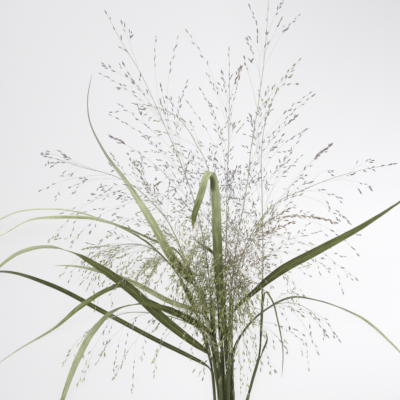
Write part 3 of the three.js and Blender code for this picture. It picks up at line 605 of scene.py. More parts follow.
def beaded_line(origin, direction, length, droop, knees, spikelets, turn):
    """A branch or twig of the solids: its places, and its course as its start, direction and length."""
    places = [origin]
    for knee in knees:
        places.append(sagging(origin, direction, length, droop, length * knee))
    sway_axis = leaning(direction, FULL_TURN / 4, turn)
    for k in range(spikelets):
        start = length - (spikelets - k) * SPIKELET["pitch"]
        sway = SPIKELET["sway"] * (-1 if k % 2 else 1)
        swelling = sagging(origin, direction, length, droop, start + SPIKELET["length"] * SPIKELET["widest"])
        places.append(sagging(origin, direction, length, droop, start))
        places.append(laid(swelling + sway_axis * sway))
    places.append(sagging(origin, direction, length, droop, length))
    return {"places": np.array(places), "course": (origin, direction, length)}


def branch_of_solid(rachis, culm, fraction, turn, draw, shrink):
    """One branch with its twigs, as the solids have it for one try of the random stream."""
    reach, droop = culm["reach"], culm["droop"]
    point, tangent = along(rachis, fraction)
    angle = math.radians(BRANCH["angle"] + BRANCH["angle_spread"] * draw())
    angle *= 1 - BRANCH["closing"] * fraction
    direction = leaning(tangent, angle, turn + (draw() - 0.5) * BRANCH["turn_spread"])
    direction = flattened(direction, BRANCH["flatten"])
    drawn = (BRANCH["least"] + BRANCH["length_spread"] * draw()) * (1 - BRANCH["shorter_at_tip"] * fraction)
    length = max(BRANCH["shortest"], shrink * reach * drawn)
    main = beaded_line(point, direction, length, droop, BRANCH["knees"], SPIKELET["on_branch"],
                       FULL_TURN * draw())
    bare = main["places"][:len(BRANCH["knees"]) + 2]
    lines = [main]
    for k in range(TWIG["count"]):
        start, tangent = along(bare, TWIG["first"] + TWIG["spacing"] * k)
        twig_turn = k * math.pi + (draw() - 0.5) * TWIG["turn_spread"]
        way = leaning(tangent, math.radians(TWIG["angle"]), twig_turn)
        share = TWIG["share"] * (1 + TWIG["length_spread"] * (draw() - 0.5))
        twig_length = max(TWIG["shortest"], length * share)
        lines.append(beaded_line(start, way, twig_length, droop, [], SPIKELET["on_twig"], FULL_TURN * draw()))
    return lines


def rachis_places(culm, step, finer=1):
    """The flower head's axis, from where it leaves the culm."""
    return smooth_rows([culm["stem"][-1], *culm["head"]], step, finer)[:, :3]


def seamed(rachis):
    """The axis as the solids have it, starting a seam's width above the culm."""
    rachis = rachis.copy()
    rachis[0] += unit(rachis[1] - rachis[0]) * RACHIS["seam"]
    return rachis


def branches_of_solids():
    """The branches that each solid flower head has, and the leaves that the finer branches keep clear of."""
    owned, leaves = [], []
    for i, culm in enumerate(CULMS):
        stem = smooth_rows(culm["stem"], CULM["step"])
        owned.append((i, strands(stem, CULM["butt"])))
        owned.append((i, strands(seamed(rachis_places(culm, RACHIS["step"])), RACHIS["base"])))
        for leaf in culm["leaves"]:
            leaves += leaf_strands(culm, leaf)
    heads, grown = [], []
    for i, culm in enumerate(CULMS):
        others = np.vstack([s for owner, s in owned if owner != i] + leaves + grown)
        rachis = seamed(rachis_places(culm, RACHIS["step"]))
        branches = []
        for b in range(culm["branches"]):
            share = (b / (culm["branches"] - 1)) ** BRANCH["crowding"]
            fraction = BRANCH["lowest"] + (BRANCH["highest"] - BRANCH["lowest"]) * share
            for attempt in range(TRIES):
                seed = (i + 1) * SEED["panicle"] + b * SEED["branch"] + attempt * SEED["attempt"]
                draw = random_stream(seed)
                turn = b * BRANCH["turn"] + attempt * BRANCH["retry_turn"]
                shrink = 1 if attempt < TRIES / 2 else BRANCH["shrunk"]
                lines = branch_of_solid(rachis, culm, fraction, turn, draw, shrink)
                pieces = np.vstack([strands(line["places"], SPIKELET["radius"]) for line in lines])
                if is_clear(pieces, others):
                    branches.append((fraction, lines))
                    break
        heads.append(branches)
        grown += [strands(rachis, RACHIS["base"])]
        grown += [strands(line["places"], SPIKELET["radius"]) for _, lines in branches for line in lines]
    return heads, np.vstack(leaves)


# ---- the finer pieces' own forms, in millimetres ----

STEM_FORM = {
    "sides": 14, "finer": 13, "swell": 0.3, "half": 2.0, "hollow": 0.52, "lowest": 0.02,
    "bore": ((0, 1.0), (0.25, 0.94), (7, 0.6)),
}
# The sheaths of stripped leaves: how high they reach, how loose they are, and how loose on the loosest culms.
OLD_SHEATH = {
    "top": 62, "under_joint": 5, "over_joint": 0.4, "loose": 0.62,
    "loosest": {3: 0.9, 4: 1.4, 5: 1.3, 6: 0.9, 8: 1.2}, "thickness": 0.25, "slant": 3.5, "torn_from": 0.8,
    "edge_from": 0.93, "edge": 0.5, "sides": 14, "grain": 1.3, "grain_shift": 37,
}
# Swollen sheaths high on a culm, round the foot of its head: from and to where along Y, and how loose.
BOOTS = {3: (73, 128, 2.3), 4: (58, 132, 1.8)}
# Bleached stretches of blades: from and to where along Y.
BLEACHED = {"2b": (72, 100), "2c": (102, 144)}
# How wide a blade is against its solid, at shares of its length.
FULLNESS = {
    "2c": ((0, 0.08, 0.16, 0.3), (1.35, 1.35, 1.1, 1)), "5a": ((0.78, 0.92, 1), (1, 1.3, 1.6)),
    "9a": ((0.08, 0.25, 0.55, 0.68, 0.78, 0.9), (1, 0.72, 0.72, 1, 1.2, 1)),
}
# How far a sheath stands off its culm where it is widest.
FLARE = {"1b": 1.2, "1c": 2.0, "2a": 0.8, "2b": 2.0, "2c": 2.2, "3a": 1.3, "5a": 1.3, "6a": 0.7}
LEAF_FORM = {
    "across": (-1, -0.93, -0.78, -0.58, -0.38, -0.2, -0.07, 0, 0.07, 0.2, 0.38, 0.58, 0.78, 0.93, 1),
    "finer": 8, "fit": 0.12, "flare": 0.2, "wrap": 335, "wrap_rows": 14, "foot": 1.4, "lip_curl": 110,
    "lip_width": 5.6, "keel": 9, "rib_height": 0.28, "rib_width": 0.5, "point": 22, "wave": 0.28,
    "wave_length": 31, "lifted_at": 15, "fold_shadow_depth": 1.1, "back_lowest": 0.02, "front_lowest": 0.05,
}
# The fringe at a collar: its hairs, and what a blade has at its corners that they have not.
NOT_ON_HAIRS = ("rib", "under", "margin", "sheath", "dusky", "bleached")
HAIR = {"count": 46, "length": 2.3, "radius": 0.05, "spread": 1.6, "root": 0.15, "straw": 0.35}
AXIS_FORM = {"base": 0.8, "tip": 0.22, "sides": 8, "finer": 6, "taper": 0.9, "ripe": 0.15}
STALK_SIDES = {"branch": 5, "twig": 4, "pedicel": 3}  # how many sides a stalk has
STATIONS = {"branch": 13, "twig": 4}  # how many places a line has
NO_CHANGE, NOWHERE = ((0, 1), (1, 1)), ((0, 1), (0, 0))  # a share of 1, or 0, all along a blade


class Shape:
    """Corners, faces and corner values that add up to the mesh of one piece."""

    def __init__(self):
        self.corners, self.quads, self.triangles, self.values = [], [], [], {}
        self.count = 0

    def add(self, corners, quads, triangles=(), **values):
        """Add corners, the faces between them, and values that are one number or one for each corner."""
        corners = np.asarray(corners, float).reshape(-1, 3)
        self.corners.append(corners)
        self.quads.append(np.asarray(quads, int).reshape(-1, 4) + self.count)
        self.triangles.append(np.asarray(triangles, int).reshape(-1, 3) + self.count)
        for name, value in values.items():
            value = np.asarray(value, float)
            if value.ndim == 0:
                value = np.full(len(corners), float(value))
            self.values.setdefault(name, []).append(value)
        self.count += len(corners)

    def add_tube(self, places, radii, sides, **values):
        """Add a closed tube along a line, with values that are one number or one for each place."""
        quads, fans = ring_faces(len(places), sides)
        for name, value in values.items():
            values[name] = value if np.ndim(value) == 0 else np.repeat(value, sides, 0)
        self.add(rings(places, radii, sides), quads, fans, **values)

    def joined(self):
        """All corners, quads, triangles and values."""
        values = {name: np.concatenate(parts) for name, parts in self.values.items()}
        return np.vstack(self.corners), np.vstack(self.quads), np.vstack(self.triangles), values

    def make(self, node, material, sharp=None):
        """The mesh object that stands for a node of the frame."""
        corners, quads, triangles, values = self.joined()
        corners = (corners + SHIFT) * METRE
        loops = np.concatenate([quads.ravel(), triangles.ravel()]).astype(np.int32)
        four, three = len(quads), len(triangles)
        starts = np.concatenate([np.arange(four) * 4, four * 4 + np.arange(three) * 3]).astype(np.int32)
        mesh = bpy.data.meshes.new(f"{node}_form")
        mesh.vertices.add(len(corners))
        mesh.vertices.foreach_set("co", corners.astype(np.float32).ravel())
        mesh.loops.add(len(loops))
        mesh.loops.foreach_set("vertex_index", loops)
        mesh.polygons.add(len(starts))
        mesh.polygons.foreach_set("loop_start", starts)
        mesh.polygons.foreach_set("use_smooth", np.ones(len(starts), bool))
        for name, numbers in values.items():
            kind, field = ("FLOAT_VECTOR", "vector") if numbers.ndim == 2 else ("FLOAT", "value")
            layer = mesh.attributes.new(name, kind, "POINT")
            layer.data.foreach_set(field, numbers.astype(np.float32).ravel())
        mesh.update(calc_edges=True)
        mesh.validate()
        if sharp is not None:
            mesh.set_sharp_from_angle(angle=math.radians(sharp))
        mesh.materials.append(material)
        piece = bpy.data.objects.new(f"{node}_look", mesh)
        bpy.context.scene.collection.objects.link(piece)
        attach(piece, "root")
        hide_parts(node)


def slot_of(node):
    """The material slot that the record gives to a node."""
    return next(part["material_slot"] for part in frame["record"]["subparts"] if part["node"] == node)


def ring_angles(sides):
    """The turns at which a ring's corners stand."""
    return FULL_TURN * (np.arange(sides) + 0.5) / sides


def rings(places, radii, sides):
    """The corners round a line, one ring for each place."""
    tangents = tangents_of(places)
    reference = np.eye(3)[np.abs(tangents.mean(0)).argmin()]
    faces = unit(reference - tangents * (tangents @ reference)[:, None])
    across = np.cross(tangents, faces)
    angles = ring_angles(sides)[:, None]
    out = faces[:, None] * np.cos(angles) + across[:, None] * np.sin(angles)
    return places[:, None] + out * np.asarray(radii, float)[:, None, None]


def ring_faces(count, sides, close_start=True):
    """Faces of a tube with a number of rings, and its flat ends as fans of triangles."""
    i, s = np.meshgrid(np.arange(count - 1), np.arange(sides), indexing="ij")
    a, b = (i * sides + s).ravel(), (i * sides + (s + 1) % sides).ravel()
    quads = np.stack([a, b, b + sides, a + sides], 1)
    fans = []
    last = (count - 1) * sides
    for k in range(1, sides - 1):
        if close_start:
            fans.append([0, k + 1, k])
        fans.append([last, last + k, last + k + 1])
    return quads, fans


# Deep in the bunch, round a centre, more spikelets have painted shade, full or half (olive), and more are
# pale, partly as painted highlights, and stalks are thicker, most of them pale, partly as painted highlights,
# and the others with painted shade. The jump is the factor for jumping().
DEEP = {
    "centre": (-17, 116), "half": (66, 84), "shaded": 0.36, "olive": 0.74, "olive_dark": 0.55, "pale": 0.3,
    "unripe": 0.6, "thicker": 0.7, "pale_stalks": 0.6, "paled": 0.9, "jump": 13.7,
}
# Far out from a centre, spikelets are held closer to their branch, and a share of them is longer and wider.
OUTER = {
    "centre": (-16, 200), "from": 100, "over": 90, "share": 0.3, "longer": 0.18, "wider": 0.4, "closer": 0.4,
    "jump": 11,
}
# A warmer patch, right of the middle: its centre and half size, and how rosy spikelets and stalks are there.
WARM = {"centre": (20, 172), "half": (40, 46), "spikelets": 0.8, "stalks": 0.35, "jump": 7}


def nearness(zone, places):
    """How near places are to the middle of a zone of the bunch: 1 there, and 0 at the edge of the zone."""
    off = (np.asarray(places, float)[..., :2] - zone["centre"]) / zone["half"]
    return np.maximum(0, 1 - (off ** 2).sum(-1))


def outwardness(place):
    """How far out in the bunch a place is, from 0 in its middle part to 1."""
    far = math.hypot(place[0] - OUTER["centre"][0], place[1] - OUTER["centre"][1])
    return min(1, max(0, (far - OUTER["from"]) / OUTER["over"]))


def jumping(value, factor):
    """A chance from 0 to 1 that jumps about as the value changes, without a draw."""
    return factor * value % 1


def add_stalk(shape, places, base, tip, sides, ripe):
    """A thin round stalk that tapers from its base to its tip, and is thicker deep in the bunch, where it is
    pale, partly as a painted highlight, or has painted shade.
    """
    places = np.asarray(places, float)
    share = np.linspace(0, 1, len(places))
    deep = nearness(DEEP, places)
    # Deep in the bunch, a share of stalks are pale, partly as painted highlights, and the rest get painted
    # shade.
    chance = jumping(float(np.abs(places[0]).sum()), DEEP["jump"])
    if chance < DEEP["pale_stalks"]:
        ripe, stalk, shaded = ripe * (1 - float(deep.mean())), 1 - DEEP["paled"] * deep, 0.0
    else:
        stalk, shaded = 1.0, deep
    shape.add_tube(places, (base + (tip - base) * share) * (1 + DEEP["thicker"] * deep), sides, ripe=ripe,
                   stalk=stalk, along=share, shaded=shaded, rosy=WARM["stalks"] * nearness(WARM, places))


def sheet_faces(rows, columns):
    """Faces of a closed thin sheet whose corners are its front grid, then its back grid."""
    back = rows * columns
    i, j = np.meshgrid(np.arange(rows - 1), np.arange(columns - 1), indexing="ij")
    a = (i * columns + j).ravel()
    front = np.stack([a, a + 1, a + 1 + columns, a + columns], 1)
    faces = [front, front[:, ::-1] + back]
    r = np.arange(rows - 1) * columns
    edge = np.stack([r, r + columns, r + columns + back, r + back], 1)
    faces += [edge, edge[:, ::-1] + columns - 1]
    k = np.arange(columns - 1)
    end = np.stack([k, k + back, k + 1 + back, k + 1], 1)
    faces += [end, end[:, ::-1] + (rows - 1) * columns]
    return np.vstack(faces)


# ---- culms ----

def knot_places(culm):
    """Where the culm's joints are along Y: a low one, and one under each sheath."""
    return [KNOT["lowest"]] + [sheath_stops(leaf)[0] - KNOT["below_sheath"] for leaf in culm["leaves"]]


def skin_grain(angles, travelled):
    """Where the streaks of a culm's skin run: round it, and along it."""
    grain = np.empty((len(travelled), len(angles), 3))
    grain[..., 0], grain[..., 1], grain[..., 2] = np.cos(angles), np.sin(angles), travelled[:, None]
    return grain


def add_loose_sheath(shape, culm, places, bottom, top, looseness, height):
    """A sheath with no blade round a stretch of the culm, as loose as it says, which ends in a torn edge."""
    form, sides = OLD_SHEATH, OLD_SHEATH["sides"]
    places = places[(places[:, 1] > bottom) & (places[:, 1] < top)]
    y, count, angles = places[:, 1], len(places), ring_angles(sides)
    share = (y - y[0]) / (y[-1] - y[0])
    radii = np.minimum(culm_radius(culm, y) + looseness(share), places[:, 2] - 0.05)
    torn = form["slant"] * np.clip((share - form["torn_from"]) / 0.2, 0, 1)[:, None] * np.cos(angles)[None]
    shift = tangents_of(places)[:, None] * torn[..., None]
    walls = [rings(places, wall, sides) + shift for wall in (radii, radii - form["thickness"])]
    quads, _ = ring_faces(count, sides)
    inside = quads[:, ::-1] + count * sides
    s = np.arange(sides)
    n = (s + 1) % sides
    last = (count - 1) * sides
    rim = np.stack([last + s, last + n, last + n + count * sides, last + s + count * sides], 1)
    foot = np.stack([n, s, s + count * sides, n + count * sides], 1)
    grain = skin_grain(angles, travelled_along(places)) * (form["grain"], form["grain"], 1)
    grain[..., 2] += form["grain_shift"]
    edge = np.repeat(np.clip((share - form["edge_from"]) / 0.07, 0, 1), sides)
    shape.add(np.concatenate(walls), np.vstack([quads, inside, rim, foot]),
              grain=np.tile(grain.reshape(-1, 3), (2, 1)), knot=0.0, height=height,
              cut=np.tile(edge, 2) * form["edge"])


def culm_shape(number, culm):
    """A round culm with swollen joints and a hollow cut end."""
    form, sides = STEM_FORM, STEM_FORM["sides"]
    places = smooth_rows(culm["stem"], CULM["step"], form["finer"])[:, :3]
    y = places[:, 1]
    knot = np.zeros(len(y))
    for at in knot_places(culm):
        knot = np.maximum(knot, np.exp(-((y - at) / form["half"]) ** 2))
    radii = culm_radius(culm, y) * (1 + form["swell"] * knot)
    corners = rings(places, radii, sides)
    corners[..., 2] = np.maximum(corners[..., 2], form["lowest"])
    grain = skin_grain(ring_angles(sides), travelled_along(places))
    shape = Shape()
    quads, fans = ring_faces(len(places), sides, close_start=False)
    height = (y - y[0]) / (y[-1] - y[0])
    shape.add(corners, quads, fans, grain=grain.reshape(-1, 3), knot=np.repeat(knot, sides),
              height=np.repeat(height, sides), cut=0.0)
    # The sheath of a stripped lower leaf clothes the culm from its low joint up.
    top = min([OLD_SHEATH["top"]] + [foot - OLD_SHEATH["under_joint"] for foot in knot_places(culm)[1:]])
    loosest = OLD_SHEATH["loosest"].get(number, OLD_SHEATH["loose"])
    bottom = KNOT["lowest"] + OLD_SHEATH["over_joint"]
    add_loose_sheath(shape, culm, places, bottom, top, lambda share: (
        loosest * np.clip(share * 12, 0.15, 1) * (1 + 0.35 * np.sin(share * 9))), 0.1)
    if number in BOOTS:
        bottom, top, swelling = BOOTS[number]
        add_loose_sheath(shape, culm, places, bottom, top, lambda share: (
            0.2 + swelling * np.sin(math.pi * share ** 0.8) ** 0.7), 0.5)
    # The cut end: a pale rim round a hollow that runs back into the culm.
    depths, widths = np.array(form["bore"]).T
    hollow = places[:1] + unit(places[1] - places[0]) * depths[:, None]
    widths = np.array([radii[0], *(radii[0] * form["hollow"] * widths)])[:, None, None]
    inner = np.vstack([places[:1], hollow])[:, None] + (corners[0] - places[0])[None] / radii[0] * widths
    quads, fans = ring_faces(len(inner), sides, close_start=False)
    shape.add(inner, quads[:, ::-1], np.array(fans)[:, [0, 2, 1]], grain=np.tile(grain[0], (len(inner), 1)),
              knot=0.0, height=0.0, cut=np.repeat([1.0, 1.0, 0.95, 0.5], sides))
    return shape


# ---- leaves ----

def fine_leaf(culm, leaf, name, thickness):
    """A leaf's rows [x, y, z, width, roll, curl] close together, and which way its face looks at each."""
    form = LEAF_FORM
    stem = smooth_rows(culm["stem"], FINE_STEP)
    foot, middle, collar = sheath_stops(leaf)

    def clasp(y, lift, curl, width=None):
        point, tangent = at_y(stem, y)
        face = rolled_frames(tangent[None], [leaf["turn"]])[0][0]
        risen = min(1, max(0, (y - foot) / (collar - foot)))
        opened = FLARE.get(name, form["flare"]) * math.sin(0.75 * math.pi * risen) ** 1.3
        radius = culm_radius(culm, y) + form["fit"] + thickness / 2 + opened
        back = point - face * (radius + lift)
        return [*back, width or radius * math.radians(curl), leaf["turn"], curl], face

    sheath_y = np.linspace(foot - form["foot"], collar, form["wrap_rows"])
    sheath = [clasp(y, 0, form["wrap"]) for y in sheath_y]
    lip_width = max(form["lip_width"], leaf["blade"][0][3])
    rows = [clasp(middle, 0, form["wrap"])[0], sheath[-1][0],
            clasp(collar + SHEATH["lip"], SHEATH["lip_lift"], form["lip_curl"], lip_width)[0]]
    rows += [[*row, BLADE["curl"] if row[2] > 1 else 0] for row in leaf["blade"]]
    coarse = smooth_rows(rows, BLADE["step"])
    fine = smooth_rows(rows, BLADE["step"], form["finer"])
    coarse_faces, _ = rolled_frames(tangents_of(coarse[:, :3]), coarse[:, 4])
    at = np.arange(len(fine)) / form["finer"]
    i = np.minimum(at.astype(int), len(coarse) - 2)
    t = (at - i)[:, None]
    faces = coarse_faces[i] * (1 - t) + coarse_faces[i + 1] * t
    first = form["finer"]
    fine = np.vstack([[row for row, _ in sheath[:-1]], fine[first:]])
    faces = np.vstack([[face for _, face in sheath[:-1]], faces[first:]])
    return fine, faces, len(sheath) - 1


def smoothed(values, reach):
    """A running mean along a line, which leaves its ends where they are."""
    kernel = np.ones(2 * reach + 1) / (2 * reach + 1)
    padded = np.pad(values, ((reach, reach), (0, 0)), mode="edge")
    return np.stack([np.convolve(padded[:, k], kernel, "valid") for k in range(values.shape[1])], 1)


def leaf_shape(culm, leaf, name, thickness):
    """A leaf: its sheath round the culm, the hairs at its collar, and its keeled blade with a midrib."""
    form = LEAF_FORM
    rows, faces, collar_row = fine_leaf(culm, leaf, name, thickness)
    places, width, curl = rows[:, :3].copy(), rows[:, 3].copy(), rows[:, 5]
    travelled = travelled_along(places)
    blade = np.clip((travelled - travelled[collar_row]) / (travelled[-1] - travelled[collar_row]), 0, 1)
    left = travelled[-1] - travelled
    width[collar_row + 2:] = smoothed(width[:, None], 3)[collar_row + 2:, 0]
    width *= np.minimum(1, (left / form["point"] + 0.02) ** 0.6)
    width *= np.interp(blade, *FULLNESS.get(name, NO_CHANGE))
    tangents = tangents_of(places)
    faces = smoothed(faces, 2)
    faces = unit(faces - tangents * (tangents * faces).sum(1)[:, None])
    sides = np.cross(tangents, faces)
    bend = np.maximum(np.radians(curl), 1e-4)
    half = thickness / 2
    # A blade that lies flat is held half its thickness over the surface, and a tilted one by its low edge.
    reach = np.where(np.abs(rows[:, 4]) < 1e-6, 0, 0.5 * width * (np.abs(sides[:, 2]) + bend / 4))
    z = places[:, 2]
    places[:, 2] = np.where(curl <= BLADE["curl"], np.maximum(z - np.exp(-z) * 0.15, half + reach), z)

    draw = random_stream(sum(ord(letter) * 31 ** k for k, letter in enumerate(name)))
    phases = [FULL_TURN * draw() for _ in range(4)]
    u = np.array(form["across"], float)
    angles = u[None] * bend[:, None] / 2
    widths = width[:, None]
    sideways = widths * np.sin(angles) / bend[:, None]
    upward = widths * (1 - np.cos(angles)) / bend[:, None]
    # The keel, the waves and the midrib begin within the first few hundredths of the blade.
    lifted = np.clip(places[:, 2] / form["lifted_at"], 0, 1) * np.clip(blade * 30, 0, 1)
    keel = np.radians(form["keel"]) * lifted * (1 - 0.6 * blade)
    upward += np.abs(u)[None] * widths / 2 * np.sin(keel)[:, None]
    sideways *= np.cos(keel)[:, None]
    # The margins wave a little, each in its own time.
    wave_size = form["wave"] * lifted * np.clip(width / 8, 0, 1)
    for side, phase in ((-1, phases[0]), (1, phases[1])):
        wave = np.sin(travelled / form["wave_length"] * FULL_TURN + phase)
        wave += 0.5 * np.sin(travelled / form["wave_length"] * 4.7 * math.pi + phases[2])
        margin = np.clip(u * side, 0, 1) ** 2
        upward += margin[None] * (wave * wave_size)[:, None]
    middle = places[:, None] + sides[:, None] * sideways[..., None] + faces[:, None] * upward[..., None]
    normals = faces[:, None] * np.cos(angles)[..., None] - sides[:, None] * np.sin(angles)[..., None]
    # The midrib stands out on the back, and fades towards the tip.
    rib = np.exp(-(u[None] * widths / 2 / form["rib_width"]) ** 2) * np.clip(blade * 20, 0, 1)[:, None]
    rib *= (1 - 0.85 * blade)[:, None]
    thick = half * (0.4 + 0.6 * (1 - u[None] ** 2)) * np.ones_like(widths)
    thick *= np.clip(0.35 + left / 60, 0, 1)[:, None]
    front = middle + normals * (thick - 0.25 * form["rib_height"] * rib)[..., None]
    rib_room = np.clip(places[:, 2:3] / 3, 0, 1)
    back = middle - normals * (thick + form["rib_height"] * rib * rib_room)[..., None]
    back[..., 2] = np.maximum(back[..., 2], form["back_lowest"])
    front[..., 2] = np.maximum(front[..., 2], form["front_lowest"])

    grain = np.empty(middle.shape)
    grain[..., 0], grain[..., 1], grain[..., 2] = u[None] * widths / 2, travelled[:, None], phases[3] * 10
    *tones, straw = LEAF_TONES[name]
    # A painted shadow darkens a blade where it folds over, more on one side.
    first, last, side = FOLD_SHADOWS.get(name, (2, 3, 1))
    fold_shadow = np.sin(math.pi * np.clip((blade - first) / (last - first), 0, 1))[:, None]
    tone = np.interp(blade, TONE_PLACES, tones)[:, None]
    tone = tone - form["fold_shadow_depth"] * fold_shadow * np.clip(0.6 + 1.2 * side * u[None], 0, 1)
    dry = np.clip((blade - (1 - straw)) / max(straw, 0.05), 0, 1) ** 1.5
    dry = np.maximum(dry, np.exp(-left / 9))
    dusky = np.interp(blade, *DUSKY.get(name, NOWHERE))
    low, high = BLEACHED.get(name, (0, 0))
    bleached = np.clip(np.minimum(middle[..., 1] - low, high - middle[..., 1]) / 5, 0, 1)
    bleached = bleached * np.clip(2.2 - 2.4 * np.abs(u), 0, 1)

    def both(values):
        """Values for the front and the back, from one for each corner, each row or each place across."""
        return np.tile(np.broadcast_to(values, middle.shape[:2]).ravel(), 2)

    shape = Shape()
    shape.add(np.concatenate([front, back]), sheet_faces(len(rows), len(u)),
              grain=np.tile(grain.reshape(-1, 3), (2, 1)), tone=both(tone), rib=both(rib),
              under=np.repeat([0.0, 1.0], rib.size), margin=both(np.abs(u)),
              sheath=both(np.clip(1 - blade * 60, 0, 1)[:, None]), dry=both(dry[:, None]),
              dusky=both(dusky[:, None]), bleached=both(bleached))
    # A fringe of hairs stands at the collar, on the side of the culm.
    row = collar_row + 1
    for k in range(HAIR["count"]):
        share = (k + 0.5) / HAIR["count"] * HAIR["spread"] - HAIR["spread"] / 2
        spot = np.array([np.interp(share, u, front[row, :, axis]) for axis in range(3)])
        way = unit(tangents[row] + 0.35 * faces[row] * draw() + 0.5 * sides[row] * (draw() - 0.5))
        length = HAIR["length"] * (0.6 + 0.6 * draw())
        ends = spot + way * np.array([-HAIR["root"], 0.5 * length, length])[:, None]
        shape.add_tube(ends, HAIR["radius"] * np.array([1, 0.7, 0.15]), 3, grain=np.zeros((3, 3)), tone=1.0,
                       dry=HAIR["straw"], **dict.fromkeys(NOT_ON_HAIRS, 0.0))
    return shape


# ---- flower heads ----

# A spikelet of unit length: where along it its rings are and how wide, and the two scales round its floret,
# by their turn, their reach, how far their tip spreads and the shares of the reach that have corners.
FLORET = {"steps": (0, 0.2, 0.48, 0.78, 1), "swell": (0.32, 0.86, 0.98, 0.55, 0.05), "sides": 5}
SCALES = ((0, 1.12, 0.34, (0, 0.5, 1)), (math.pi, 0.58, 0.16, (0, 1)))


def spikelet_model():
    """A spikelet of unit length and radius: the closed floret and the two scales round it."""
    steps, swell = np.array(FLORET["steps"]), np.array(FLORET["swell"])
    shape = Shape()
    shape.add_tube(steps[:, None] * UP, swell, FLORET["sides"], scale=0.0)
    for turn, reach, spread, shares in SCALES:
        rows = np.array(shares) * reach
        radii = np.interp(rows, steps, swell)
        radii[-1] = max(radii[-1], 0.12) + spread
        opening = np.interp(shares, (0, 0.5, 1), (1.2, 1.2, 0.1))
        spots = turn + opening[:, None] * np.array([-1.0, 0.0, 1.0])[None]
        walls = [[np.cos(spots) * radii[:, None] * wall, np.sin(spots) * radii[:, None] * wall,
                  np.repeat(rows[:, None], 3, 1)] for wall in (1.16, 1.02)]
        shape.add(np.moveaxis(walls, 1, -1), sheet_faces(len(rows), 3)[:, ::-1], scale=1.0)
    return shape.joined()


# How ripeness drifts through a head: the size of its patches, in millimetres, how much riper the head grows,
# from which place along Y and over which length, and how far it varies by patches and by spikelets.
RIPENING = {"patch": 31, "higher": 0.35, "from": 190, "over": 110, "patches": 0.12, "each": 0.7}
# How much of its size an unripe spikelet has, how much more a ripe one, and how far length and width vary.
SPIKELET_FORM = {
    "unripe": 0.88, "riper": 0.16, "shortest": 0.78, "thinnest": 0.74, "varies": 0.48, "tip_riper": 0.12,
}
# The stalk of one spikelet: how far it spreads, in degrees, its least length and how far that varies.
PEDICEL = {"spread": 44, "length": (0.8, 1.8), "sag": (0, -0.06, -0.12), "base": 0.055, "tip": 0.075}
# The twigs of a branch. Of each pair, the second is added: to the angle by chance, and to the first twig's
# share of the branch by how high on the axis the branch starts.
FINE_TWIG = {
    "base": 0.09, "tip": 0.075, "angle": (16, 32), "turn": 2.4, "flatten": 0.75, "shortest": 7, "droop": 0.8,
    "pitch": 10.0, "wider_at_tip": 2.2, "first": (0.26, 0.12), "longest": 0.34, "spacing": 7.2, "bare": 0.35,
}
# How far apart a plume's spikelets are, and how far their stalks spread, in degrees.
PLUME_FORM = {"pitch": 1.9, "spread": 42}
# The young branches in a tangle are looser plumes, whose spikelets have longer stalks.
TANGLE_FORM = {"pitch": 2.3, "spread": 58, "longer": 1.7}
# The finer branches: between the solid's along the axis, low round its foot, and young in a tangle. A pair
# is the least value and how much chance adds to it, and the low branches draw theirs in this order.
BETWEEN = {
    "lowest": 0.02, "span": 0.7, "crowding": 1.7, "angle": (14, 48), "droop": (0.7, 1.3),
    "length": (0.45, 0.6), "shortest": 22,
}
LOW = {
    "from": (0.01, 0.22), "aside": (-1, 2), "ahead": (-0.15, 0.7), "up": (0.55, 0.5), "droop": (0.75, 0.6),
    "length": (42, 42),
}
YOUNG = {
    "from": (0, 0.14), "spread": 2.2, "up": (0.3, 0.6), "length": (26, 36), "droop": (0.2, 0.5),
    "bare": 0.15, "stray": 0.05, "ripe": 0.3,
}
BRANCH_TIPS = {"fine": 0.08, "crowded": 0.1}  # the radius of a branch at its tip
LAST_SHARES = (0.93, 0.84, 0.75, 0.66, 0.57)  # where spikelets sit on a branch's own end
AXIS_SHARES = (0.86, 0.9, 0.94, 0.975)  # where spikelets sit on the axis's own end
BARE_SPRAYS_FROM = 280  # a placed branch whose tip lies farther up than this is bare up to its end
STRAY = 0.016  # how far a branch strays from its course, as a share of its length
PLACED_STRAY = 0.6  # how far a placed branch strays, in millimetres
PICKS = 6  # how often a finer branch is tried
ROOM = {"radius": 0.8, "clearance": 0.2, "from_place": 3}  # the room that it needs between the leaves


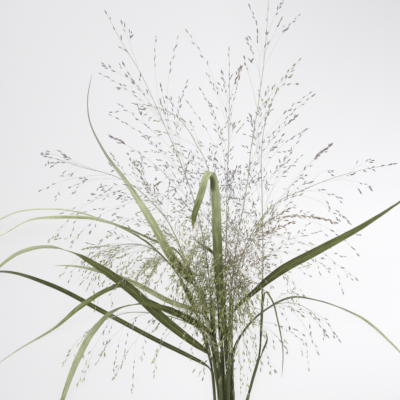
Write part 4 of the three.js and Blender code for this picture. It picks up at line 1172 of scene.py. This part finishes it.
class Head:
    """The stalks and spikelets of one flower head, as they are grown."""

    def __init__(self, number, settings):
        self.shape = Shape()
        self.growth = GROWTH[number - 1]
        self.thickness = settings.branch_thickness / METRE
        self.spikelet_length = settings.spikelet_length / METRE
        self.spikelet_radius = settings.spikelet_width / METRE / 2
        self.draw = random_stream(number * SEED["fine_head"])
        self.spikelets = []

    def drawn(self, least, varies):
        """A value drawn by chance: the least one, and a share of how much it varies."""
        return least + varies * self.draw()

    def ripeness(self, place):
        """How ripe a spikelet is here: it varies in soft patches, and from one to the next."""
        x, y, z = place / RIPENING["patch"]
        patch = math.sin(x * 1.3 + 0.7 * z) + math.sin(y * 1.1 - 1.9) + math.sin(0.8 * x - 1.4 * y + 2.1)
        higher = RIPENING["higher"] * min(1, max(-1, (place[1] - RIPENING["from"]) / RIPENING["over"]))
        ripe = self.growth["ripe"] + higher + RIPENING["patches"] * patch
        return min(1, max(0, ripe + RIPENING["each"] * (self.draw() - 0.5)))

    def spikelet(self, place, way):
        """A spikelet at a place, pointing a way, with its size, how ripe it is, how much painted shade it has
        and how rosy it is.
        """
        draw, form = self.draw, SPIKELET_FORM
        # Deep in the bunch, a share of spikelets get painted shade, full or half, and a share stay pale,
        # partly as painted highlights.
        deep = float(nearness(DEEP, place))
        chance = draw()
        shaded = DEEP["olive_dark"] if chance < DEEP["olive"] * deep else 0
        if chance < DEEP["shaded"] * deep:
            shaded = 1
        is_pale = chance > 1 - DEEP["pale"] * deep
        ripe = 0.0 if is_pale else self.ripeness(place) * (1 - DEEP["unripe"] * deep)
        grown = form["unripe"] + form["riper"] * ripe
        length = self.spikelet_length * self.drawn(form["shortest"], form["varies"]) * grown
        radius = self.spikelet_radius * self.drawn(form["thinnest"], form["varies"]) * grown
        if jumping(chance, OUTER["jump"]) < OUTER["share"]:
            outer = outwardness(place)
            length *= 1 + OUTER["longer"] * outer
            radius *= 1 + OUTER["wider"] * outer
        warm = WARM["spikelets"] * float(nearness(WARM, place)) * jumping(chance, WARM["jump"])
        rosy = max(self.growth.get("rosy", 0), warm)
        self.spikelets.append([*place, *unit(way), length, radius, FULL_TURN * draw(), ripe, shaded, rosy])

    def last_spikelet(self, line):
        """The spikelet on the end of a line."""
        self.spikelet(line[-1], line[-1] - line[-2])

    def stalk(self, line, base, tip, kind, ripe):
        """A bare stalk of a kind along a line."""
        add_stalk(self.shape, line, base, tip, STALK_SIDES[kind], ripe)

    def pedicel(self, line, share, turn, ripe, spread=PEDICEL["spread"], longer=1.0):
        """A short side stalk at a share of a line, with a spikelet on its end."""
        draw = self.draw
        place, tangent = along(line, share)
        spread *= 1 - OUTER["closer"] * outwardness(place)
        way = leaning(tangent, math.radians(spread * (0.25 + 0.75 * draw())), turn)
        length = self.drawn(*PEDICEL["length"]) * longer
        mid = place + way * length * 0.5
        way = unit(way + np.array(PEDICEL["sag"]))
        end = laid(place + way * length)
        self.stalk([place, mid, end], PEDICEL["base"], PEDICEL["tip"], "pedicel", ripe)
        self.spikelet(end, way)

    def strung(self, line, spacing, first, radius):
        """A twig along a line, with spikelets from its first share to its end."""
        draw = self.draw
        ripe = self.ripeness(line[-1])
        self.stalk(line, radius, FINE_TWIG["tip"], "twig", ripe)
        count = int(steps_of(line).sum() * (1 - first) / spacing)
        turn = FULL_TURN * draw()
        for k in range(count):
            share = first + (1 - first) * (k + 0.2 + 0.6 * draw()) / max(count, 1)
            self.pedicel(line, min(share, 0.97), turn + k * math.pi + (draw() - 0.5), ripe)
        self.last_spikelet(line)

    def twigs(self, line, droop, first, pitch):
        """Twigs to both sides of a branch, shorter towards its tip, with spikelets along their outer half."""
        draw, form = self.draw, FINE_TWIG
        length = steps_of(line).sum()
        count = round(length * (1 - first) / pitch)
        turn = FULL_TURN * draw()
        for k in range(count):
            share = first + (0.97 - first) * (k + 0.7 * draw()) / count
            point, tangent = along(line, share)
            angle = math.radians(self.drawn(*form["angle"]))
            way = leaning(tangent, angle, turn + k * form["turn"] + draw())
            way = flattened(way, form["flatten"])
            size = length * form["longest"] * (0.5 + 0.9 * draw()) * (1.1 - 0.6 * share)
            size = max(form["shortest"], size)
            twig = drooping(point, way, size, droop * form["droop"], STATIONS["twig"])
            self.strung(twig, form["spacing"], form["bare"], form["base"])

    def branch(self, line, droop, fraction):
        """A branch along a line, its twigs, and the spikelets strung along its own end."""
        draw, form = self.draw, FINE_TWIG
        ripe = self.ripeness(line[len(line) // 2])
        self.stalk(line, self.thickness / 2, BRANCH_TIPS["fine"], "branch", ripe)
        bare, barer = form["first"]
        pitch = form["pitch"] * (1 + form["wider_at_tip"] * fraction) * self.growth["open"]
        self.twigs(line, droop, bare + barer * fraction, pitch)
        ripe = self.ripeness(line[-1])
        turn = FULL_TURN * draw()
        for k, share in enumerate(LAST_SHARES[:5 - round(2.5 * fraction)]):
            self.pedicel(line, share + 0.03 * draw(), turn + k * math.pi, ripe)
        self.last_spikelet(line)

    def string_of_spikelets(self, line):
        """A long bare branch with a few spikelets close against its end."""
        draw = self.draw
        self.stalk(line, self.thickness / 2.5, BRANCH_TIPS["crowded"], "branch", 0.5)
        turn = FULL_TURN * draw()
        for k in range(5):
            self.pedicel(line, 0.62 + 0.34 * (k + 0.6 * draw()) / 5, turn + k * math.pi, 0.6)
        self.last_spikelet(line)

    def plume(self, line, ripe, rosy, first, pitch, spread, longer=1.0):
        """A branch with spikelets crowded close along its outer part."""
        draw = self.draw
        self.stalk(line, self.thickness / 2, BRANCH_TIPS["crowded"], "branch", ripe)
        usual, self.growth = self.growth, {**self.growth, "ripe": ripe, "rosy": rosy}
        count = round(steps_of(line).sum() * (1 - first) / pitch)
        for k in range(count):
            share = first + (0.98 - first) * (k + draw()) / count
            self.pedicel(line, share, FULL_TURN * draw(), ripe, spread, longer)
        self.last_spikelet(line)
        self.growth = usual

    def straying(self, line, size):
        """A line that strays a little from its course between its ends."""
        share = np.linspace(0, 1, len(line))
        a, b = FULL_TURN * self.draw(), FULL_TURN * self.draw()
        stray = np.stack([np.sin(9 * share + a), 0.3 * np.sin(7 * share + b), np.cos(8 * share + b)], 1)
        share = share[:, None]
        return line + size * stray * share * (1 - share) * 2

    def finer_branch(self, leaves, pick, *given):
        """A branch where there is room between the leaves, from picks of its start, way, droop and length."""
        for _ in range(PICKS):
            point, way, droop, length, fraction = pick(*given)
            line = drooping(point, way, length, droop, STATIONS["branch"])
            if is_clear(strands(line[ROOM["from_place"]:], ROOM["radius"]), leaves, ROOM["clearance"]):
                self.branch(self.straying(line, STRAY * length), droop, fraction)
                break

    def finished(self, model):
        """The head's shape, with a spikelet put at every place that was kept."""
        rows = np.array(self.spikelets)
        corners, quads, fans, values = model
        place, way = rows[:, :3], rows[:, 3:6]
        length, radius, spin, ripe, shaded, rosy = rows[:, 6:].T
        reference = np.where(np.abs(way[:, 2:3]) < 0.9, UP, np.array([1.0, 0, 0]))
        u = unit(np.cross(reference, way))
        v = np.cross(way, u)
        x = u * np.cos(spin)[:, None] + v * np.sin(spin)[:, None]
        y = np.cross(way, x)
        out = place[:, None]
        for k, (axis, size) in enumerate(((x, radius), (y, radius), (way, length))):
            out = out + (axis * size[:, None])[:, None] * corners[None, :, k:k + 1]
        out[..., 2] = np.maximum(out[..., 2], 0.1)
        step = (np.arange(len(rows)) * len(corners))[:, None, None]
        ripes = np.clip(ripe[:, None] + SPIKELET_FORM["tip_riper"] * values["scale"][None], 0, 1)
        self.shape.add(out, quads[None] + step, fans[None] + step, ripe=ripes.ravel(), stalk=0.0,
                       along=np.tile(corners[:, 2], len(rows)), shaded=np.repeat(shaded, len(corners)),
                       rosy=np.repeat(rosy, len(corners)))
        return self.shape


def placed_spray(axis, fraction, tip):
    """A branch that leaves the axis close to its own direction, rises a little and arches over to its tip."""
    start, tangent = along(axis, fraction)
    tip = np.array(tip, float)
    reach = tip - start
    length = np.linalg.norm(reach)
    way = reach / length
    aside = tangent + 0.6 * UP
    bow = start + 0.5 * reach + 0.24 * length * (aside - way * (aside @ way))
    t = np.linspace(0, 1, STATIONS["branch"])[:, None]
    return laid(start * (1 - t) ** 2 + bow * 2 * t * (1 - t) + tip * t * t)


def head_shape(number, culm, branches, leaves, settings, model):
    """One flower head: its axis, the branches of the solid, finer ones between them, and the placed ones."""
    head = Head(number, settings)
    draw, growth = head.draw, head.growth
    axis = rachis_places(culm, RACHIS["step"], AXIS_FORM["finer"])
    share = np.linspace(0, 1, len(axis))
    radii = AXIS_FORM["tip"] + (AXIS_FORM["base"] - AXIS_FORM["tip"]) * (1 - share) ** AXIS_FORM["taper"]
    head.shape.add_tube(axis, radii, AXIS_FORM["sides"], ripe=AXIS_FORM["ripe"], stalk=1.0, along=share,
                        shaded=0.0, rosy=0.0)
    head.last_spikelet(axis)
    for share in AXIS_SHARES:
        head.pedicel(axis, share, FULL_TURN * draw(), 0.5)
    for fraction, (main, *twigs) in branches:
        line = drooping(*main["course"], culm["droop"], STATIONS["branch"])
        head.branch(head.straying(line, STRAY * main["course"][2]), culm["droop"], fraction)
        for twig in twigs:
            line = drooping(*twig["course"], culm["droop"], STATIONS["twig"] + 2)
            head.strung(line, 6.0 + 4 * fraction, 0.3, 0.1)

    extra = round(growth["extra"] * settings.fullness)

    def between(k):
        share = (k + 0.5 * draw()) / extra
        fraction = BETWEEN["lowest"] + BETWEEN["span"] * share ** BETWEEN["crowding"]
        point, tangent = along(axis, fraction)
        angle = math.radians(head.drawn(*BETWEEN["angle"])) * (1 - BRANCH["closing"] * fraction)
        way = flattened(leaning(tangent, angle, FULL_TURN * draw()), BRANCH["flatten"])
        droop = culm["droop"] * head.drawn(*BETWEEN["droop"])
        drawn = head.drawn(*BETWEEN["length"])
        length = culm["reach"] * drawn * (1 - BRANCH["shorter_at_tip"] * fraction)
        return point, way, droop, max(BETWEEN["shortest"], length), fraction

    for k in range(extra):
        head.finer_branch(leaves, between, k)
    for fraction, *tip in SPRAYS.get(number, ()):
        line = head.straying(placed_spray(axis, fraction, tip), PLACED_STRAY)
        if tip[1] > BARE_SPRAYS_FROM:
            head.string_of_spikelets(line)
        else:
            head.branch(line, 0.2, max(fraction, 0.3))
    for fraction, *tip, ripe, rosy, first in PLUMES.get(number, ()):
        line = head.straying(placed_spray(axis, fraction, tip), PLACED_STRAY)
        head.plume(line, ripe, rosy, first, **PLUME_FORM)
    young, lean_x, lean_y, ripe = TANGLE.get(number, (0, 0, 0, 0))
    for _ in range(round(young * settings.fullness)):
        point, _ = along(axis, head.drawn(*YOUNG["from"]))
        way = [lean + YOUNG["spread"] * draw() - YOUNG["spread"] / 2 for lean in (lean_x, lean_y)]
        way = unit(np.array([*way, head.drawn(*YOUNG["up"])]))
        length = head.drawn(*YOUNG["length"])
        line = drooping(point, way, length, head.drawn(*YOUNG["droop"]), STATIONS["branch"])
        line = head.straying(line, YOUNG["stray"] * length)
        head.plume(line, ripe + YOUNG["ripe"] * (draw() - 0.5), 0.0, YOUNG["bare"], **TANGLE_FORM)

    def low():
        fraction, *way, droop, length = (head.drawn(*pair) for pair in LOW.values())
        point, _ = along(axis, fraction)
        return point, unit(np.array(way)), droop, length, fraction

    for _ in range(round(growth["low"] * settings.fullness)):
        head.finer_branch(leaves, low)
    return head.finished(model)


# ---- finishes ----

def new_node(tree, kind, **settings):
    """A new node of a kind in a material's tree, with its settings."""
    made = tree.nodes.new(kind)
    for name, value in settings.items():
        setattr(made, name, value)
    return made


def give(tree, socket, value):
    """Link a socket to another one, or set it to a number or a colour."""
    if isinstance(value, bpy.types.NodeSocket):
        tree.links.new(value, socket)
    elif socket.type == "RGBA":
        socket.default_value = (*value, 1)
    else:
        socket.default_value = value


def corner_value(tree, name, output="Fac"):
    """A number, or a vector, that the mesh has at its corners."""
    made = new_node(tree, "ShaderNodeAttribute", attribute_type="GEOMETRY", attribute_name=name)
    return made.outputs[output]


def calculated(tree, operation, a, b=0.0):
    """The result of an operation on two numbers."""
    made = new_node(tree, "ShaderNodeMath", operation=operation)
    for socket, value in zip(made.inputs, (a, b)):
        give(tree, socket, value)
    return made.outputs[0]


def blended(tree, share, a, b):
    """A colour between two, each a socket or a colour."""
    made = new_node(tree, "ShaderNodeMix", data_type="RGBA", clamp_factor=True)
    for socket, value in zip((made.inputs[0], made.inputs[6], made.inputs[7]), (share, a, b)):
        give(tree, socket, value)
    return made.outputs[2]


def speckled(tree, vector, scale, detail=2.0, roughness=0.5):
    """Soft noise over a vector, from 0 to 1."""
    made = new_node(tree, "ShaderNodeTexNoise")
    for name, value in (("Vector", vector), ("Scale", scale), ("Detail", detail), ("Roughness", roughness)):
        give(tree, made.inputs[name], value)
    return made.outputs["Fac"]


def grained(tree, scale, detail, shift=(0, 0, 0), roughness=0.5):
    """Noise over the grain of a piece, which is stretched by a scale in each direction."""
    grain = corner_value(tree, "grain", "Vector")
    made = new_node(tree, "ShaderNodeMapping")
    for name, value in (("Vector", grain), ("Scale", scale), ("Location", shift)):
        give(tree, made.inputs[name], value)
    return speckled(tree, made.outputs[0], 1.0, detail, roughness)


def ranged(tree, value, low, high, to_low=0.0, to_high=1.0):
    """A value brought from one range to another, and kept inside it."""
    made = new_node(tree, "ShaderNodeMapRange", clamp=True)
    for socket, number in zip(made.inputs, (value, low, high, to_low, to_high)):
        give(tree, socket, number)
    return made.outputs["Result"]


def ramped(tree, value, *stops):
    """A colour from a ramp, whose stops are (position, colour)."""
    made = new_node(tree, "ShaderNodeValToRGB")
    give(tree, made.inputs[0], value)
    ends = made.color_ramp.elements
    for end, (position, colour) in zip(ends, (stops[0], stops[-1])):
        end.position, end.color = position, (*colour, 1)
    for position, colour in stops[1:-1]:
        ends.new(position).color = (*colour, 1)
    return made.outputs[0]


def tinted(tree, colour, *tints):
    """A colour with tints: each a corner value, a tint, and the ranges of the value and of its share."""
    for name, tint, *limits in tints:
        share = corner_value(tree, name)
        colour = blended(tree, ranged(tree, share, *limits) if limits else share, colour, tint)
    return colour


def new_finish(name):
    """A material with its own shader: (material, tree, shader)."""
    material = bpy.data.materials.new(name)
    material.use_nodes = True
    tree = material.node_tree
    return material, tree, tree.nodes["Principled BSDF"]


def surface(tree, shader, colour, roughness, gloss, height, depth):
    """Give the shader its colour, roughness, gloss and relief."""
    bump = new_node(tree, "ShaderNodeBump")
    for socket, value in ((bump.inputs["Distance"], depth), (bump.inputs["Strength"], 1.0),
                          (bump.inputs["Height"], height), (shader.inputs["Normal"], bump.outputs[0]),
                          (shader.inputs["Base Color"], colour), (shader.inputs["Roughness"], roughness),
                          (shader.inputs["Specular IOR Level"], gloss)):
        give(tree, socket, value)


def culm_finish(settings):
    """Satin culm skin: lengthwise streaks, brown joints, a pale bloom under them and a pale cut."""
    material, tree, shader = new_finish("culm skin")
    streaks = grained(tree, (2.6, 2.6, 0.02), 3.0)
    patches = grained(tree, (0.5, 0.5, 0.035), 2.0, (7, 0, 0))
    colour = blended(tree, ranged(tree, patches, 0.35, 0.65), settings.colour, settings.shaded_colour)
    colour = blended(tree, ranged(tree, streaks, 0.42, 0.62, 0.0, 0.55), colour, settings.streak_colour)
    colour = tinted(tree, colour, ("height", settings.neck_colour, 0.75, 1.0, 0.0, 0.5),
                    ("knot", settings.joint_colour, 0.35, 0.9), ("cut", settings.cut_colour))
    surface(tree, shader, colour, ranged(tree, patches, 0.3, 0.7, 0.38, 0.6), 0.4, streaks, 0.00008)
    return material


def leaf_finish(name, settings):
    """Satin blade: lengthwise veins, a pale midrib and margins, mottling, and straw where it has dried."""
    material, tree, shader = new_finish(name)
    veins = grained(tree, (1.9, 0.012, 1.0), 2.0, roughness=0.6)
    broad = grained(tree, (0.35, 0.02, 1.0), 2.0, (3, 0, 0))
    mottle = grained(tree, (0.3, 0.07, 1.0), 3.0, (9, 0, 0))
    specks = grained(tree, (1.1, 0.35, 1.0), 2.0, (5, 0, 0))
    shade = corner_value(tree, "tone")
    for noise, low, high, most in (
            (mottle, 0.3, 0.7, 0.14), (veins, 0.35, 0.65, 0.12), (broad, 0.3, 0.7, 0.08)):
        shade = calculated(tree, "ADD", shade, ranged(tree, noise, low, high, -most, most))
    colour = ramped(tree, shade, (0.0, settings.dark_colour), (0.45, settings.middle_colour),
                    (1.0, settings.pale_colour))
    colour = tinted(tree, colour, ("under", settings.underside_colour, 0, 1, 0.0, 0.22),
                    ("margin", settings.margin_colour, 0.93, 1.0, 0.0, 0.45),
                    ("rib", settings.margin_colour, 0.25, 1.0, 0.0, 0.5),
                    ("sheath", settings.sheath_colour, 0, 1, 0.0, 0.35))
    dryness = calculated(tree, "ADD", corner_value(tree, "dry"), ranged(tree, specks, 0.2, 0.8, -0.35, 0.35))
    colour = blended(tree, ranged(tree, dryness, 0.35, 0.75), colour, settings.dry_colour)
    colour = tinted(tree, colour, ("dusky", settings.dusky_colour, 0, 1, 0.0, 0.85))
    bleached = calculated(tree, "MULTIPLY", corner_value(tree, "bleached"), ranged(tree, mottle, 0.25, 0.4))
    colour = blended(tree, bleached, colour, settings.bleached_colour)
    colour = blended(tree, ranged(tree, specks, 0.71, 0.76, 0.0, 0.5), colour, settings.spot_colour)
    surface(tree, shader, colour, ranged(tree, mottle, 0.3, 0.7, 0.5, 0.7), 0.4, veins, 0.00012)
    return material


def head_finish(settings):
    """Dry matt head: pale stalks, and spikelets from green straw to purple brown, darker at their tips, with
    painted shade deep in the bunch.
    """
    material, tree, shader = new_finish("flower head")
    fine = speckled(tree, new_node(tree, "ShaderNodeTexCoord").outputs["Object"], 1400.0, 2.0)
    ripe = calculated(tree, "ADD", corner_value(tree, "ripe"), ranged(tree, fine, 0.3, 0.7, -0.1, 0.1))
    colour = ramped(tree, ripe, (0.0, settings.straw_colour), (0.3, settings.green_colour),
                    (0.62, settings.tan_colour), (1.0, settings.ripe_colour))
    colour = tinted(tree, colour, ("along", settings.tip_colour, 0.55, 1.1, 0.0, 0.5))
    greener = ranged(tree, fine, 0.35, 0.65, 0.0, 0.6)
    stalks = blended(tree, greener, settings.stalk_colour, settings.green_colour)
    stalks = tinted(tree, stalks, ("ripe", settings.grey_stalk_colour, 0.3, 0.8))
    # The shaded value paints shade over spikelets and stalks deep in the bunch.
    colour = tinted(tree, colour, ("stalk", stalks), ("rosy", settings.rosy_colour),
                    ("shaded", settings.shaded_colour))
    surface(tree, shader, colour, ranged(tree, fine, 0.3, 0.7, 0.6, 0.8), 0.3, fine, 0.00005)
    return material


FLOOR_MATT = 0.5  # how much less light the floor scatters than it gives off, so that shadows stay faint
LIGHT_POOL = (0.2, 0.01)  # the middle of the floor's lightest part


def floor_finish(settings):
    """Plain pale floor that glows to soften shadows, with a painted pool of light low on the right and
    painted shade to the left and to the top right.
    """
    material, tree, shader = new_finish("pale floor")
    spots = new_node(tree, "ShaderNodeTexCoord").outputs["Object"]
    place = new_node(tree, "ShaderNodeSeparateXYZ")
    give(tree, place.inputs[0], spots)
    aside, beyond = (calculated(tree, "SUBTRACT", place.outputs[axis], middle)
                     for axis, middle in zip("XY", LIGHT_POOL))
    # Painted shade: the floor dims away from the painted pool of light, to the left and towards the top
    # right, with a faint speckle.
    beyond = ranged(tree, calculated(tree, "ABSOLUTE", beyond), 0.07, 0.37, 0.0, 0.225)
    painted_shade_and_speckle = calculated(tree, "MULTIPLY", beyond, ranged(tree, aside, -0.42, 0.08, 0.2, 1.15))
    for part in (ranged(tree, calculated(tree, "ABSOLUTE", aside), 0.17, 0.45, 0.0, 0.165),
                 ranged(tree, speckled(tree, spots, 1.5, 1.0), 0.3, 0.7, 0.0, 0.01)):
        painted_shade_and_speckle = calculated(tree, "ADD", painted_shade_and_speckle, part)
    colour = blended(tree, painted_shade_and_speckle, settings.floor_colour, (0, 0, 0))
    # The floor glows in its own colour, as painted light that softens the shadows on it.
    for name, value in (("Base Color", blended(tree, FLOOR_MATT, colour, (0, 0, 0))),
                        ("Emission Color", colour), ("Emission Strength", settings.floor_glow),
                        ("Roughness", 0.9), ("Specular IOR Level", 0.1)):
        give(tree, shader.inputs[name], value)
    return material


# ---- settings ----

def colour_setting(name, description, default):
    """A setting that is a colour."""
    return bpy.props.FloatVectorProperty(name=name, description=description, default=default,
                                         subtype="COLOR", size=3, min=0, max=1)


def length_setting(name, description, default):
    """A setting that is a length in metres."""
    return bpy.props.FloatProperty(name=name, description=description, default=default, subtype="DISTANCE",
                                   unit="LENGTH", min=0, precision=5)


def number_setting(name, description, default, **limits):
    """A setting that is a number, a share or a power."""
    return bpy.props.FloatProperty(name=name, description=description, default=default, min=0, **limits)


class SwitchgrassStems(bpy.types.PropertyGroup):
    """Colours of the culms"""
    colour: colour_setting("Skin", "Colour of the culm's skin", (0.08, 0.086, 0.028))
    shaded_colour: colour_setting("Dark skin", "Colour of its darker patches", (0.04, 0.045, 0.014))
    streak_colour: colour_setting("Streaks", "Colour of the lengthwise streaks", (0.17, 0.185, 0.08))
    neck_colour: colour_setting("Neck", "Colour under the flower head", (0.2, 0.25, 0.1))
    joint_colour: colour_setting("Joints", "Colour of the swollen joints", (0.06, 0.052, 0.026))
    cut_colour: colour_setting("Cut", "Colour of the cut end", (0.55, 0.55, 0.3))


class SwitchgrassLeaves(bpy.types.PropertyGroup):
    """Thickness and colours of the leaves"""
    thickness: length_setting("Thickness", "Thickness of a blade at its middle", 0.00036)
    dark_colour: colour_setting("Dark", "Colour of the darkest blades", (0.06, 0.066, 0.013))
    middle_colour: colour_setting("Middle", "Colour between dark and pale", (0.185, 0.212, 0.055))
    pale_colour: colour_setting("Pale", "Colour of the palest blades", (0.72, 0.76, 0.47))
    underside_colour: colour_setting("Underside", "Cast of the underside", (0.27, 0.3, 0.16))
    margin_colour: colour_setting("Margins", "Colour of the margins and the midrib", (0.55, 0.57, 0.33))
    sheath_colour: colour_setting("Sheath", "Colour of the sheath", (0.085, 0.092, 0.025))
    bleached_colour: colour_setting("Bleached", "Colour of a bleached stretch", (0.9, 0.9, 0.76))
    dusky_colour: colour_setting("Dusky", "Colour of the grey blade ends", (0.36, 0.355, 0.34))
    dry_colour: colour_setting("Dry", "Colour of the dried parts", (0.5, 0.42, 0.2))
    spot_colour: colour_setting("Spots", "Colour of the small spots", (0.1, 0.07, 0.03))


class SwitchgrassHeads(bpy.types.PropertyGroup):
    """Sizes, fullness and colours of the flower heads"""
    branch_thickness: length_setting("Branch", "Thickness of a branch at its root", 0.00034)
    spikelet_length: length_setting("Spikelet length", "Length of a spikelet", 0.0046)
    spikelet_width: length_setting("Spikelet width", "Width of a spikelet", 0.00128)
    fullness: number_setting("Fullness", "Share of the finer branches", 1, subtype="FACTOR", max=1)
    stalk_colour: colour_setting("Stalks", "Colour of the axis, branches and twigs", (0.6, 0.605, 0.52))
    grey_stalk_colour: colour_setting("Grey stalks", "Colour of ripe spikelets' stalks", (0.72, 0.71, 0.71))
    straw_colour: colour_setting("Straw spikelets", "Colour of the palest spikelets", (0.72, 0.71, 0.35))
    green_colour: colour_setting("Green spikelets", "Colour of young spikelets", (0.38, 0.41, 0.18))
    # Painted shade: the colour of the dark spikelets and stalks deep in the bunch.
    shaded_colour: colour_setting("Dark spikelets", "Colour of the dark green spikelets low in the bunch",
                                  (0.175, 0.2, 0.035))
    rosy_colour: colour_setting("Rosy spikelets", "Colour of the rosy plumes", (0.43, 0.29, 0.19))
    tan_colour: colour_setting("Tan spikelets", "Colour between green and ripe", (0.54, 0.49, 0.47))
    ripe_colour: colour_setting("Ripe spikelets", "Colour of ripe spikelets", (0.315, 0.285, 0.32))
    tip_colour: colour_setting("Spikelet tips", "Colour of the spikelets' tips", (0.32, 0.28, 0.3))


class SwitchgrassStage(bpy.types.PropertyGroup):
    """The floor, the lights and the camera"""
    floor_colour: colour_setting("Floor", "Colour of the floor", (0.452, 0.4495, 0.458))
    floor_glow: number_setting("Floor glow", "Light that the floor adds, to soften shadows", 1.74)
    key_power: number_setting("Main light", "Power of the main light", 24, subtype="POWER", unit="POWER")
    fill_power: number_setting("Fill light", "Power of the fill light", 10, subtype="POWER", unit="POWER")
    sky: number_setting("Surroundings", "Brightness of the surroundings", 0.5)
    camera_height: length_setting("Camera height", "Height of the camera over the floor", 2.5)


# ---- operators ----

# What the camera, straight over the bunch, has in view at a height over the floor, in metres.
VIEW = {"half_width": 0.25, "sharp_height": 0.05, "centre": (0.00722, 0.10501)}
FLOOR_HALF = 4.0  # half the floor's width
LIT = (0, 0.1, 0.03)  # where the lights point


class SWITCHGRASS_OT_stems(bpy.types.Operator):
    """Make the culms, with their joints and hollow cut ends"""
    bl_idname = "switchgrass.stems"
    bl_label = "Make culms"

    def execute(self, context):
        skin = culm_finish(context.scene.switchgrass_stems)
        for i, culm in enumerate(CULMS, 1):
            culm_shape(i, culm).make(f"culm_{i}", skin, sharp=50)
        return {"FINISHED"}


class SWITCHGRASS_OT_leaves(bpy.types.Operator):
    """Make the leaves, each with its sheath, the hairs at its collar and its blade"""
    bl_idname = "switchgrass.leaves"
    bl_label = "Make leaves"

    def execute(self, context):
        settings = context.scene.switchgrass_leaves
        blades = {slot: leaf_finish(f"{slot} blade", settings) for slot in ("dark_leaf", "pale_leaf")}
        for i, culm in enumerate(CULMS, 1):
            for letter, leaf in zip("abcd", culm["leaves"]):
                node = f"leaf_{i}{letter}"
                shape = leaf_shape(culm, leaf, f"{i}{letter}", settings.thickness / METRE)
                shape.make(node, blades[slot_of(node)], sharp=60)
        return {"FINISHED"}


class SWITCHGRASS_OT_heads(bpy.types.Operator):
    """Make the open flower heads, each with its axis, branches, twigs and spikelets"""
    bl_idname = "switchgrass.heads"
    bl_label = "Make flower heads"

    def execute(self, context):
        settings = context.scene.switchgrass_heads
        finish = head_finish(settings)
        model = spikelet_model()
        heads, leaves = branches_of_solids()
        for i, culm in enumerate(CULMS, 1):
            head_shape(i, culm, heads[i - 1], leaves, settings, model).make(f"panicle_{i}", finish)
        return {"FINISHED"}


class SWITCHGRASS_OT_stage(bpy.types.Operator):
    """Lay the pale floor, set the soft lights and put the camera over the bunch"""
    bl_idname = "switchgrass.stage"
    bl_label = "Make stage"

    def execute(self, context):
        settings = context.scene.switchgrass_stage
        scene = context.scene
        corners = [(x * FLOOR_HALF, y * FLOOR_HALF, 0) for x, y in ((-1, -1), (1, -1), (1, 1), (-1, 1))]
        mesh = bpy.data.meshes.new("floor")
        mesh.from_pydata(corners, [], [(0, 1, 2, 3)])
        mesh.materials.append(floor_finish(settings))
        floor = bpy.data.objects.new("floor", mesh)
        scene.collection.objects.link(floor)
        for name, power, place, size in (("main light", settings.key_power, (-1.1, 1.5, 1.9), 1.6),
                                         ("fill light", settings.fill_power, (1.6, -0.6, 1.7), 2.2)):
            lamp = bpy.data.lights.new(name, "AREA")
            lamp.energy, lamp.size = power, size
            light = bpy.data.objects.new(name, lamp)
            light.location = place
            aim = mathutils.Vector(LIT) - light.location
            light.rotation_euler = aim.to_track_quat("-Z", "Y").to_euler()
            scene.collection.objects.link(light)
        world = bpy.data.worlds.new("surroundings")
        world.use_nodes = True
        background = world.node_tree.nodes["Background"]
        background.inputs["Color"].default_value = (1, 1, 1, 1)
        background.inputs["Strength"].default_value = settings.sky
        scene.world = world
        scene.view_settings.view_transform = "Standard"
        lens = bpy.data.cameras.new("camera")
        lens.angle = 2 * math.atan(VIEW["half_width"] / (settings.camera_height - VIEW["sharp_height"]))
        camera = bpy.data.objects.new("camera", lens)
        camera.location = (*VIEW["centre"], settings.camera_height)
        scene.collection.objects.link(camera)
        scene.camera = camera
        return {"FINISHED"}


class SWITCHGRASS_PT_panel(bpy.types.Panel):
    """Settings and makers of the bunch"""
    bl_label = "Switchgrass Bunch"
    bl_idname = "SWITCHGRASS_PT_panel"
    bl_space_type = "VIEW_3D"
    bl_region_type = "UI"
    bl_category = "Switchgrass"

    def draw(self, context):
        for maker, (title, group, _) in zip(MAKERS, SETTINGS):
            box = self.layout.box()
            box.label(text=title)
            settings = getattr(context.scene, group)
            for name in settings.__annotations__:
                box.prop(settings, name)
            box.operator(maker.bl_idname)


SETTINGS = (
    ("Culms", "switchgrass_stems", SwitchgrassStems), ("Leaves", "switchgrass_leaves", SwitchgrassLeaves),
    ("Flower heads", "switchgrass_heads", SwitchgrassHeads), ("Stage", "switchgrass_stage", SwitchgrassStage),
)
MAKERS = (SWITCHGRASS_OT_stems, SWITCHGRASS_OT_leaves, SWITCHGRASS_OT_heads, SWITCHGRASS_OT_stage)


def register():
    for _, name, group in SETTINGS:
        bpy.utils.register_class(group)
        setattr(bpy.types.Scene, name, bpy.props.PointerProperty(type=group))
    for maker in MAKERS:
        bpy.utils.register_class(maker)
    bpy.utils.register_class(SWITCHGRASS_PT_panel)


def unregister():
    bpy.utils.unregister_class(SWITCHGRASS_PT_panel)
    for maker in reversed(MAKERS):
        bpy.utils.unregister_class(maker)
    for _, name, group in reversed(SETTINGS):
        delattr(bpy.types.Scene, name)
        bpy.utils.unregister_class(group)


def main():
    register()
    bpy.ops.switchgrass.stems()
    bpy.ops.switchgrass.leaves()
    bpy.ops.switchgrass.heads()
    bpy.ops.switchgrass.stage()
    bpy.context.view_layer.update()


if __name__ == "__main__":
    main()
